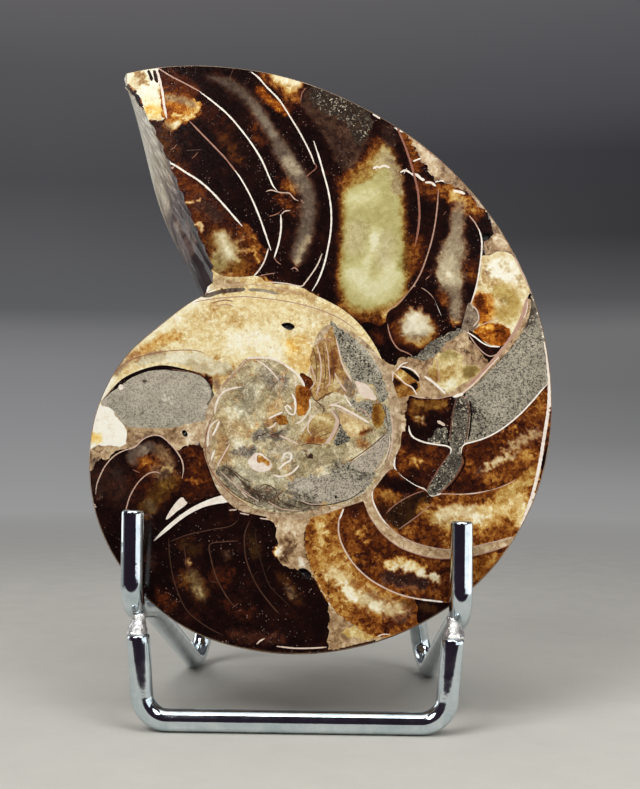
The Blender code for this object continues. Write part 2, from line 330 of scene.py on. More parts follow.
def paint_upper_chambers(face):
    """Dark chambers from the broken end to the pale green one, with a grey cloud through the middle."""
    face.tint([(-19, 94), (-17, 91.5), (-15, 90)], 1, 2, glow=0.15)
    face.tint([(-15.5, 88.3), (-14, 86.4), (-12.6, 84.2)], 0.4, 1.4, glow=0.24, green=0.3, ragged=1)
    face.tint([(-9.3, 90.6), (-8, 88.4), (-8.6, 92.5)], 0.6, 1.4, glow=0.24, ragged=1)
    face.area("calcite", [(-26.6, 83.9), (-24.5, 83), (-22.5, 81.5), (-20, 80.2), (-18, 78.2), (-16, 76.2),
        (-14, 73.7), (-11.5, 70.7), (-9, 68.3), (-6.8, 66.3), (-7.6, 63), (-9.2, 60.6), (-13, 60.2),
        (-18, 60.6), (-20, 66), (-24, 75), (-28, 83)], glow=0.2)
    face.tint([(-24.2, 82), (-22.6, 79.6), (-20.7, 77.4), (-19.4, 73)], 0.6, 1.8, glow=0.26, honey=0.2,
        ragged=0.8)
    face.tint([(-19.6, 75.4), (-16.5, 73)], 0.3, 1.6, glow=0.22, milk=0.5, ragged=1.2)
    face.tint([(-15.8, 68), (-14, 66), (-15.4, 63), (-12.4, 63)], 0.8, 2.6, glow=0.36, green=0.5,
        ragged=0.3)
    face.tint([(-16, 64.4), (-15.6, 63)], 0.6, 1.5, glow=0.56, green=0.8, milk=0.2, ragged=0.3)
    face.tint([(-15, 61.4), (-12.4, 61.6), (-10.4, 63)], 0.2, 0.9, glow=0.36, honey=0.3, ragged=0.5)
    face.tint([(-15.2, 68.7), (-14.6, 67), (-13.7, 65.2)], 0.2, 1.7, glow=0.78, milk=0.6, ragged=0.3)
    face.tint([(-14.8, 67.8), (-13.9, 65.8)], 0.1, 0.6, glow=0.97, milk=0.5, ragged=0.5)
    for ray in (
        [(-14.4, 67.2), (-16.9, 69.6)], [(-14, 67.2), (-14.9, 70)], [(-13.6, 67), (-11.4, 68.6)],
        [(-13.4, 66.6), (-10.6, 66.2)], [(-14, 66), (-12, 64.2)], [(-14.8, 66.4), (-16.6, 65.4)]
    ):
        face.tint(ray, 0.1, 0.45, glow=0.78, milk=0.4, amount=0.6)
    face.tint([(-11.3, 70.4), (-9.8, 69), (-8.7, 66.6), (-8.2, 64.4)], 0.3, 1, glow=0.42, ragged=1.2)
    face.tint([(-9.9, 66.6), (-9.2, 65.6), (-8.5, 64)], 0.08, 0.3, glow=0.72, ragged=1.2)
    face.tint([(-23.9, 75), (-21.6, 75.6), (-19.7, 76.1)], 0.12, 0.15, glow=0.8, milk=0.4)
    face.tint([(-21.2, 70.8), (-19.4, 71.3), (-19.1, 69.8)], 0.15, 0.3, glow=0.78, milk=0.4)
    face.tint([(-15, 99.6), (-12.6, 98), (-10.6, 96), (-8.6, 93.3), (-6.9, 90.6), (-4.9, 87.3), (-3, 84),
        (-1.6, 81.3)], 0.25, 1.5, glow=0.36, green=0.4, milk=0.8, ragged=0.3)
    face.tint([(-18.6, 100.9), (-16.6, 100.3), (-14.2, 98.9)], 0.1, 0.9, glow=0.3, milk=0.8, ragged=0.4)
    face.tint([(-9.4, 94.3), (-7.4, 91.4), (-6, 89)], 0.1, 0.9, glow=0.5, milk=0.9, ragged=0.3)
    face.tint([(-4.6, 86.2), (-2.2, 82.8), (-0.6, 80.4), (0.8, 77), (0.9, 73.6), (0.4, 70), (-0.9, 65.4)],
        0.6, 1.6, glow=0.38, green=0.4, milk=0.85, ragged=0.3)
    face.tint([(-3.2, 83.8), (-1.6, 81.6)], 0.5, 1.1, glow=0.62, milk=0.8)
    face.tint([(0.9, 68.6), (-0.6, 65.8), (-1.1, 63.8)], 0.2, 0.6, glow=0.62, milk=0.7)
    for points, reach, soft, glow, ragged in (
        ([(-3.4, 79.6), (-2, 78.6), (-0.9, 78.9)], 0.5, 1.3, 0.4, 1.2),
        ([(-4.3, 76.2), (-2.6, 74.9), (-1.4, 73.5)], 0.4, 1.3, 0.31, 1.4),
        ([(-7.5, 101.6), (-5.2, 99.4), (-3, 97), (-1.4, 96.6)], 0.6, 1.4, 0.38, 1),
    ):
        face.tint(points, reach, soft, glow=glow, ragged=ragged)
    face.tint([(-5.4, 101.2), (-3.6, 100.4), (-1.9, 99.8)], 0.6, 1.1, glow=0.9, milk=0.3)
    face.tint([(-3.4, 98.9), (-2.2, 98.4)], 0.3, 0.9, glow=0.68)
    face.tint([(-8.8, 98.3), (-6.4, 95.8), (-3.7, 93.8)], 0.4, 0.8, glow=0.4, honey=0.8)
    for points, width, glow in (
        ([(-29.1, 103), (-26, 101), (-23, 99.4), (-20.2, 97.8)], 0.36, 0.66),
        ([(-20.4, 97.9), (-17.5, 95.6), (-15, 93.4), (-12.8, 90.9), (-10.3, 87.6), (-8.2, 84.2),
          (-6.6, 80.6), (-5.9, 79), (-5, 77.9)], 0.42, 1),
        ([(-22.1, 91.8), (-20.1, 89.7), (-17.6, 87.1), (-15, 84.3), (-12.6, 81.2)], 0.4, 0.58),
        ([(-13.2, 82), (-12, 80.3), (-10.1, 76.9), (-8.4, 73), (-7.1, 69.4), (-6, 66.2)], 0.42, 1),
        ([(-26.5, 83.8), (-24.6, 82.9), (-22.5, 81.5), (-20, 79.9), (-17.6, 77.8), (-15.2, 75.2),
          (-13.3, 73), (-11.5, 70.9)], 0.48, 1),
        ([(-26.2, 82.4), (-25.2, 82.3), (-24.7, 82.8)], 0.3, 0.7),
        ([(-6.5, 66.6), (-7.1, 64.4), (-8, 62.6), (-9.3, 61)], 0.36, 0.95),
        ([(-4.3, 73.3), (-4.2, 70.6), (-4.6, 67.6), (-5.4, 64.7)], 0.42, 1),
        ([(-4.2, 73.3), (-3.6, 73.9), (-2.5, 74.1)], 0.32, 0.8),
        ([(-6.6, 72.9), (-5.4, 73.2), (-4.4, 73.8)], 0.28, 0.5),
        ([(-5.4, 64.9), (-4.9, 64.1), (-4.1, 63.5)], 0.2, 0.6),
        ([(-7.2, 77.8), (-6.2, 78.1), (-4.4, 77.6), (-2.8, 77.5), (-1.8, 76.4), (-1, 76)], 0.3, 0.78),
        ([(-0.7, 76.3), (0.1, 75.4)], 0.2, 0.6),
        ([(-11, 102.3), (-9.2, 100.9), (-7.5, 98.9), (-5, 96.2), (-2.6, 92.4), (-0.9, 89.5), (0.5, 86.8),
          (1.4, 84.8), (1.9, 83.3)], 0.42, 0.98),
        ([(2, 83.6), (2.3, 82.6), (1.6, 81.9), (0.9, 81.3), (0.3, 80.6)], 0.26, 0.45),
        ([(1.7, 88), (2.8, 84.6), (3.7, 81.4), (4.6, 78), (5.1, 75), (5.25, 72.4), (5.1, 69.6), (4.6, 66.4),
          (3.9, 63.2), (2.9, 60.4), (1.8, 58.4)], 0.42, 1),
        ([(3.6, 65.7), (2.7, 63.4), (1.4, 61.3), (0.4, 59.9), (-0.3, 59.3), (-3, 59.8), (-6.5, 60.1)], 0.34,
          0.9),
        ([(-8.2, 61.2), (-6.6, 61.6), (-5.2, 61.8)], 0.22, 0.6),
        ([(-2.2, 62.6), (-1.4, 62.9), (-0.8, 62.2)], 0.3, 0.62),
    ):
        face.line(points, width, glow=glow)
    for points in (
        [(-14.7, 100.6), (-14, 102.6)], [(-8.7, 95.6), (-8.1, 96.9)], [(-9.2, 94.5), (-9.8, 93.2)],
        [(-22.5, 85.9), (-19.5, 86.1)]
    ):
        face.line(points, 0.14, glow=0.3)


def paint_green_chamber(face):
    """The chocolate sediment on the rim, the pale green chamber below it and the white vein across."""
    face.fill([(-1, 95.4), (-0.6, 97.4), (0.6, 99), (5, 97.6), (10, 95.8), (12.4, 94), (12.6, 90),
        (11.6, 87), (10, 84), (8.8, 82.4), (7, 82.4), (5.8, 84), (5, 86.2), (3, 89.6), (1, 92.6)], 0.7,
        glow=0.22, green=0.25, milk=0.45, ragged=0.5)
    face.area("sediment", [(1.4, 99), (5, 97.9), (10, 96.1), (12.6, 94.2), (12.8, 91), (11.8, 88.4),
        (10.2, 87.4), (8.8, 89.4), (7.4, 91.8), (5, 93.4), (2.6, 94.6), (1, 96.6)], wobble=0.7, glow=0.09,
        milk=0.45)
    face.tint([(3.4, 97), (6.6, 95.4), (11.8, 92.2)], 1, 1.6, on=("sediment",), milk=0.9, ragged=1)
    face.tint([(9.6, 90.5), (10.8, 89.6)], 0.6, 1.2, on=("sediment",), milk=0.9, ragged=1)
    face.line([(-0.9, 96.2), (-0.7, 97.6), (0.1, 98.8)], 0.22, glow=0.5)
    chamber = [(7, 60), (7.2, 66), (7.4, 72), (7.6, 77.3), (9.4, 79.3), (12, 80.9), (13.2, 82.6),
        (13.8, 85), (15.2, 87.2), (16.3, 86.4), (17, 84), (17.9, 80.5), (18.6, 76), (19, 70), (19.3, 64),
        (19.3, 60), (18.2, 57.2), (15, 55.5), (11.5, 54.8), (8.6, 56)]
    face.tint([(8.2, 79.4), (11, 82), (13, 84), (14.6, 86.8)], 1, 2, glow=0.4, green=0.1)
    face.tint([(8, 55.6), (12, 54.2), (16, 55), (18.6, 57)], 0.6, 1.6, glow=0.4, green=0.2)
    face.fill(chamber, 4.2, glow=0.38, green=0.3, ragged=0.4)
    face.fill(chamber, 2.6, glow=0.74, green=1, ragged=0.4)
    face.tint([(10.4, 80.9), (12.2, 82.2), (14, 84.2)], 0.4, 1.4, glow=0.56, green=0.5)
    face.tint([(14.2, 83.4), (15.2, 85.6)], 0.2, 1.3, glow=0.68, green=0.6, milk=0.3)
    face.tint([(16.2, 84.5), (17.3, 81.4), (17.6, 78)], 0.3, 1.2, glow=0.58, green=0.6, milk=0.5, ragged=1)
    face.tint([(10, 70.4), (9.7, 67.4)], 0.6, 2, glow=0.74, green=0.8, milk=0.3)
    face.tint([(15.6, 68.4), (15.2, 64.6)], 0.6, 1.8, glow=0.76, green=0.9, milk=0.3)
    face.tint([(9.6, 76.4), (12.6, 77.4)], 0.6, 2, glow=0.9)
    face.tint([(10, 61.6), (13.4, 58.6), (17, 62.4)], 0.8, 2.4, glow=0.93)
    face.tint([(13.5, 70.2), (13.4, 68.4), (12.5, 65.5), (11.3, 62.6), (11.4, 60.6)], 0.15, 1.3, glow=0.93,
        ragged=1)
    face.tint([(13.4, 69.4), (13.1, 67.4)], 0.1, 0.9, glow=0.97, milk=0.2, ragged=0.8, amount=0.8)
    face.tint([(19.6, 63.4), (20.5, 65.6), (21.2, 67.8), (20.8, 63.6)], 0.5, 1.6, glow=0.36, ragged=0.8)
    for points, width in (
        ([(13, 82.5), (13.8, 82.9), (14.4, 82.6)], 0.5),
        ([(14.2, 82.7), (15.1, 83.1), (16.2, 82.7)], 0.62),
        ([(18.2, 81.8), (19.2, 82.2), (20.4, 81.5)], 0.5),
        ([(20.2, 81.5), (21.3, 81.3), (22.2, 80.5), (22.8, 80.3)], 0.7),
        ([(22.9, 79.8), (24, 79.8), (24.9, 79.1)], 0.6),
        ([(24.8, 79.9), (26, 80.2), (27.6, 79.6)], 0.42),
        ([(28.2, 78.2), (29.4, 78), (30.4, 77.6)], 0.72),
        ([(20.6, 84), (21.8, 84.5), (23.2, 84.8)], 0.4),
        ([(12.7, 93.9), (13.4, 93.3), (14.4, 92.6)], 0.7),
        ([(15.2, 92), (15.9, 91.8)], 0.5),
        ([(17.2, 90.9), (17.9, 90.3), (18.5, 89.9)], 0.6),
        ([(13.2, 82.9), (13.7, 82.3)], 0.3),
        ([(18.9, 81.6), (19.4, 82.6)], 0.26),
    ):
        face.line(points, width, glow=0.98, thin=(0.5, 0.5))


def paint_right_chambers(face):
    """Dark chambers right of the green one, the tan mottled rim and the white calcite by the edge."""
    face.tint([(15.8, 90.4), (16.6, 88.2)], 0.5, 1.2, glow=0.2, milk=0.5, ragged=1.2)
    face.tint([(19.2, 89.4), (20.4, 86), (21.4, 82.8)], 0.4, 1.2, glow=0.36)
    for points, reach, soft, glow, ragged in (
        ([(22.6, 79), (24, 78), (26.2, 78.4)], 0.6, 1.6, 0.34, 0.8),
        ([(27.4, 78.6), (29.2, 76.6), (31, 75.8), (32.4, 74.4)], 1, 1.4, 0.44, 1),
        ([(28.4, 77.4), (29.8, 76.2)], 0.3, 0.9, 0.7, 1.4),
    ):
        face.tint(points, reach, soft, glow=glow, ragged=ragged)
    face.area("matrix", [(19.6, 90.2), (22.5, 89), (27, 85.5), (32, 80.2), (36, 75), (39.5, 69.5),
        (40.6, 65), (39.4, 64.6), (37.5, 66.4), (36, 65.2), (34.2, 65.2), (33.7, 67), (33.9, 68.7),
        (35.3, 69.2), (35.5, 70.8), (35.2, 72.6), (33.6, 74.8), (31.4, 77.2), (30, 78.4), (27, 79.7),
        (25, 80.2), (24, 80.9), (23.6, 82.4), (22.3, 84.2), (21.2, 86), (20.4, 87.8)], wobble=0.5, glow=0.4)
    face.tint([(24.6, 85.4), (27.6, 82)], 0.2, 0.6, on=("matrix",), glow=0.62, green=0.5, ragged=1.2)
    face.tint([(29.4, 81.2), (31.4, 78.9)], 0.2, 0.6, on=("matrix",), glow=0.24, ragged=1.4)
    face.tint([(21.6, 87.6), (23.4, 85.2), (24.6, 82.4)], 0.6, 1, on=("matrix",), glow=0.78)
    face.tint([(33.4, 76.6), (35, 74.4), (36.2, 72)], 0.4, 0.8, on=("matrix",), glow=0.74, green=0.6)
    face.tint([(36.4, 68.6), (37.6, 67.8)], 0.4, 1, on=("matrix",), glow=0.8)
    face.tint([(29.2, 75.4), (29.1, 73.4)], 0.5, 1, glow=0.5, milk=0.5, ragged=0.8)
    face.tint([(29, 73), (28.8, 70), (28.3, 67)], 0.7, 1.2, glow=0.55, green=0.4, milk=0.75)
    face.tint([(28.3, 66.8), (27.3, 63.6), (27.5, 60.8)], 1.7, 1.4, glow=0.6, green=0.4, milk=0.75,
        ragged=0.8)
    face.tint([(28.3, 60), (28.6, 57), (28.5, 54.4)], 0.6, 1.3, glow=0.5, green=0.4, milk=0.75, ragged=0.8)
    face.tint([(27, 64.6), (26.6, 61.6), (28.4, 61)], 0.5, 1.6, glow=0.74, milk=0.7, ragged=1)
    face.tint([(27.3, 61.9)], 0.2, 0.7, glow=0.95, milk=0.6)
    face.tint([(31.4, 63.4), (31.6, 61)], 0.5, 1, glow=0.34)
    face.tint([(26, 58.2), (26.6, 56.4)], 0.4, 1.1, glow=0.34)
    face.tint([(27.6, 53), (28.8, 52.6)], 0.2, 0.7, glow=0.6, ragged=1.2)
    face.area("calcite", [(33.4, 65.4), (35, 65.6), (36.2, 66.3), (38.2, 66.2), (39.6, 65.2), (40.4, 64.2),
        (41.4, 62), (42.3, 59), (41.4, 56.6), (40.6, 54), (39.6, 51.8), (38, 49.6), (36.6, 48.3),
        (34.8, 48.4), (33.4, 49.2), (31.6, 50.6), (32.6, 52.6), (32.4, 54.8), (31.4, 56.2), (32.2, 58.6),
        (32.9, 61.2), (33.3, 63.6)], glow=0.86, milk=0.3)
    face.fill([(33.6, 63.4), (36, 64.9), (38.6, 65.2), (40.4, 62.6), (41, 60.2), (39, 60.4), (36.6, 61),
        (34.6, 61.2)], 1, glow=0.99, milk=0.5)
    for points, glow in (
        ([(33.8, 64.8), (34.2, 62.4), (33.6, 60.4)], 0.6),
        ([(37.4, 64.4), (38.6, 62.8)], 0.74),
        ([(34.8, 60.6), (36.6, 60)], 0.64),
        ([(40.2, 61.6), (40.8, 60)], 0.7),
    ):
        face.tint(points, 0.1, 0.7, glow=glow, ragged=1.6)
    face.tint([(36.4, 58.8), (38.6, 58), (39.4, 56), (38.6, 54.2), (37, 54.4)], 0.8, 1.1, glow=0.68,
        green=0.7, milk=0, honey=0.15, ragged=1)
    face.tint([(37.6, 57.2), (38.4, 56.4)], 0.2, 0.8, glow=0.56, green=0.9, ragged=1.2)
    face.tint([(40.2, 53.4), (39.2, 51.4)], 0.4, 0.7, glow=0.9, ragged=1)
    face.tint([(33.2, 56.8), (33.8, 55), (33.6, 53.8)], 1, 1, glow=0.44, milk=0, honey=0.8, ragged=0.5)
    face.tint([(32.9, 57.4), (33, 55.4)], 0.4, 0.7, glow=0.3, honey=0.5)
    face.tint([(34.8, 57.6), (35.4, 54.6)], 0.2, 0.6, glow=0.6, honey=0.6)
    face.area("calcite", [(31.9, 51.2), (33.9, 52.4), (36.7, 52.4), (38.5, 51.3), (38.2, 49), (36, 48.2),
        (33.8, 48.9), (32.2, 50.1)], wobble=0.2, glow=0.46, honey=0.8)
    face.tint([(36.4, 51.2), (37.4, 50)], 0.5, 0.9, glow=0.32, honey=0.6)
    face.tint([(33.2, 51.2), (35, 51.8)], 0.2, 0.6, glow=0.6, honey=0.9)
    face.line([(33.3, 52.2), (34.6, 52.8), (36.3, 53.4)], 0.18, glow=0.8)
    face.area("matrix", [(30.8, 56.3), (31.6, 56.1), (32.7, 54.9), (32.9, 53.1), (32.2, 51.5), (31, 50.8),
        (29.4, 50.3), (30, 53.5)], glow=0.42, green=0.6)
    face.line([(31.2, 56.2), (32.4, 55), (32.7, 53.2), (31.7, 51.9)], 0.3, glow=0.85)
    face.area("calcite", [(30.9, 51), (32.6, 50.2), (34.2, 48.4), (36.7, 47.9), (37, 47), (36, 46.2),
        (34, 46.8)], glow=0.13)
    face.line([(30.6, 50.8), (32, 49.9), (33.4, 48.8), (34.8, 48.2), (36.6, 48.1)], 0.36, glow=1)
    face.line([(30.9, 50.3), (32.2, 48.4), (33.6, 46.9), (35, 46.3), (36.8, 47.1)], 0.26, glow=0.72)
    for points, width, glow in (
        ([(17.4, 91.2), (18.5, 88.6), (19.4, 86.2), (20.2, 83.6), (20.9, 81), (21.5, 78.2), (21.75, 75.4),
          (21.8, 72.8), (21.5, 70), (21, 67.4)], 0.52, 0.5),
        ([(25.4, 78.6), (25.2, 75.4), (24.8, 72), (24.1, 68.4), (23.1, 65), (22, 62), (20.8, 59.8),
          (19.2, 57.6), (17.6, 56), (16, 54.8), (15, 54.2)], 0.34, 0.66),
        ([(20.6, 59.6), (22.2, 59.1), (23.4, 58.3), (24.4, 57.2)], 0.32, 0.75),
        ([(24.2, 57.4), (25, 55.6), (25.8, 53.7), (26.5, 51.8)], 0.4, 1),
        ([(31.1, 73.4), (32.2, 72), (33, 70.4)], 0.3, 0.7),
        ([(32.9, 70.8), (33.4, 69), (33.45, 66.8), (33.1, 63.6), (32.6, 60.6), (32, 58.2), (31.3, 56.2)],
          0.4, 0.97),
        ([(22.9, 60.8), (23.7, 61.5)], 0.24, 0.6),
        ([(26.3, 73.4), (26.9, 74.2)], 0.16, 0.5),
    ):
        face.line(points, width, glow=glow)
    face.tint([(16, 54.4), (14.6, 53.2), (16.4, 52.8)], 0.3, 1, glow=0.62, ragged=1.4)
    face.tint([(12, 52.6), (14, 52.4)], 0.4, 1.2, glow=0.3, ragged=1.2)
    face.pit([(33.4, 69.4), (33.9, 69.9), (34.7, 70.1), (35.2, 69.5), (34.8, 68.7), (34, 68.5)], 0.9)


def paint_crossing(face):
    """The star-filled round chamber and the jumble of matrix and calcite below it."""
    face.area("calcite", [(15.8, 54.2), (18, 56), (20.8, 59.4), (22.6, 58.9), (24.4, 57.2), (25.4, 54.8),
        (26.6, 51.6), (24, 49.6), (21.6, 47.4), (19.6, 45.6), (18, 46.4), (16.6, 48.2), (15.6, 50.6)],
        glow=0.08)
    face.tint([(20.4, 51.4), (21.6, 50.4), (22.4, 51.2)], 1.9, 1.6, glow=0.48, green=0.2)
    face.tint([(20.6, 53), (21.6, 52.4), (22.2, 51.4), (20.2, 51.2)], 0.9, 1.4, glow=0.84, milk=0.85,
        ragged=0.8)
    face.tint([(21.2, 53.2), (21.6, 52.2)], 0.5, 1, glow=0.99, milk=0.6)
    for ray in (
        [(21.3, 52.8), (20.1, 55.2)], [(21.5, 53), (21.9, 55)], [(21.8, 52.6), (23.6, 53.6)],
        [(21.9, 52.2), (24, 51.2)], [(21, 52.4), (18.4, 52.6)], [(21, 52), (18.9, 50.2)],
        [(21.5, 51.8), (21.7, 49.4)]
    ):
        face.tint(ray, 0.1, 0.6, glow=0.86, milk=0.7, amount=0.7)
    face.tint([(20.6, 49.6), (21.8, 49.2), (23, 49.8)], 0.5, 1, glow=0.6, green=0.3)
    face.tint([(17.4, 51.8), (17.6, 50)], 0.4, 1.2, glow=0.32, ragged=1)
    face.area("calcite", [(10.2, 51), (12, 52.6), (14.4, 51.8), (15.6, 52.6), (15.7, 50.4), (16.6, 48.2),
        (18, 46.6), (17.6, 45.2), (15.4, 45.4), (13, 47.8)], glow=0.03)
    face.tint([(13.2, 50.2), (14.6, 49.2)], 0.3, 1, glow=0.2, ragged=1.2)
    face.area("matrix", [(18.2, 45.8), (20.6, 46), (23, 46.2), (26, 48.6), (28.4, 50.6), (30.4, 50.6),
        (31.2, 49.4), (33.6, 46.4), (34.8, 45), (37, 47.6), (39.4, 50.6), (40.8, 53.6), (41.8, 57.4),
        (42.6, 56), (41.8, 53.2), (40.2, 50.2), (37.6, 46.6), (34.8, 43.8), (32.4, 41.2), (30.2, 39.6),
        (28.6, 38.2), (26.6, 38.4), (23, 38.3), (20.4, 38.6), (19.6, 38), (19.2, 35), (19.2, 32),
        (18.6, 29.6), (17.4, 27), (16.8, 24.8), (15.6, 24), (16, 28), (16.6, 32), (16.9, 36), (16.2, 40),
        (15.2, 43.4), (13.6, 46.6), (15.4, 45.2), (17.2, 44.4)], wobble=0.25, glow=0.56)
    for points, reach, soft, glow in (
        ([(19.6, 44.8), (23, 44.9), (27.8, 49)], 0.4, 0.9, 0.44),
        ([(31.2, 47.6), (32.4, 45.6), (34.2, 44.4)], 0.5, 1, 0.4),
        ([(30.4, 49.4), (29.2, 47.8)], 0.3, 0.8, 0.76),
        ([(17.4, 36.6), (18.2, 33.2), (17.4, 29.6)], 0.4, 1, 0.7),
        ([(18.6, 39.4), (18.8, 36)], 0.4, 0.9, 0.42),
    ):
        face.tint(points, reach, soft, on=("matrix",), glow=glow, ragged=1.2)
    face.area("sediment", [(20.2, 46.1), (21.6, 46.6), (23.2, 48.4), (25, 49.6), (27.4, 50.8), (29.4, 51.6),
        (30, 51.9), (28.8, 50.2), (26.6, 48.6), (25, 46.6), (23.4, 45.7), (21.8, 45.4)], wobble=0.3,
        glow=0.34, green=1, milk=0.9)
    face.area("calcite", [(23.2, 42.6), (24, 44.6), (24.8, 46.2), (26.4, 47.2), (28.4, 47.2), (29.7, 46.2),
        (29.8, 44.9), (31.6, 44.6), (33, 43.8), (32, 42.5), (30.6, 41.9), (29.2, 40.8), (28, 39.9),
        (26.6, 39.6), (25.2, 41)], wobble=0.3, glow=0.82, green=0.35, milk=0.1)
    face.tint([(26.4, 46.4), (28.2, 46.5)], 0.4, 0.7, glow=0.6, green=0.8)
    face.fill([(29.8, 42.4), (30, 44.4), (31.6, 44.6), (32.8, 43.7), (31.4, 42.2)], 0.7, glow=0.5,
        green=0.9)
    face.tint([(24.2, 43), (24.6, 42)], 0.4, 0.9, glow=0.48)
    face.tint([(26.2, 42.6), (27.8, 44)], 0.3, 0.9, glow=0.66, green=0.3, ragged=1.4)
    face.tint([(26.8, 40.4), (28, 41)], 0.3, 0.8, glow=0.95, milk=0.3, ragged=1.2)
    face.line([(24.9, 45.8), (25.2, 43.6), (25.4, 41.2)], 0.24, glow=0.7)
    face.area("calcite", [(17.4, 42.8), (18, 43.8), (19.2, 43.6), (20.2, 42.8), (21.4, 41.4), (21.6, 40.2),
        (20.8, 39), (19.2, 38.6), (17.6, 38.6), (16.6, 39.6), (16.4, 41.4)], wobble=0.3, glow=0.5,
        green=0.2)
    face.tint([(17.4, 41.6), (17.9, 40.9)], 0.3, 0.5, glow=0.05)
    face.tint([(17.9, 39.7), (18.9, 39.9)], 0.5, 0.7, glow=0.56, green=0.3)
    face.tint([(18.9, 43), (18.2, 42.4)], 0.3, 0.6, glow=0.72)
    face.area("calcite", [(18.2, 43.9), (19.2, 44), (20.8, 43), (21.7, 42), (21.6, 41.4), (20.4, 42.2),
        (19.3, 43.1)], glow=0.03)
    face.area("calcite", [(20.1, 40.9), (21.2, 41.2), (21.5, 40.3), (20.6, 39.6)], glow=0.05)
    for points, width, glow in (
        ([(22.7, 42.4), (23.9, 41.6), (25.2, 40.5), (26.5, 39.2)], 0.62, 1),
        ([(17.5, 43.4), (18.5, 44.6), (19.6, 45)], 0.36, 0.97),
        ([(18.4, 44.2), (19.6, 44), (20.8, 43.4), (21.8, 42.2)], 0.36, 0.97),
        ([(17.2, 42.9), (18.2, 41.9), (19.3, 40.9), (20.4, 40.3), (21.3, 38.9)], 0.34, 0.95),
        ([(16.9, 43.4), (16.8, 41.6), (16.1, 40.4)], 0.34, 0.9),
        ([(20.3, 46.4), (19, 47), (17.8, 47.6), (16.8, 49), (16.2, 50.6), (15.9, 52.2)], 0.3, 0.6),
        ([(20.4, 38.7), (22, 38.4), (24, 38.1), (26, 38.4), (27.8, 38.9)], 0.28, 0.78),
    ):
        face.line(points, width, glow=glow)


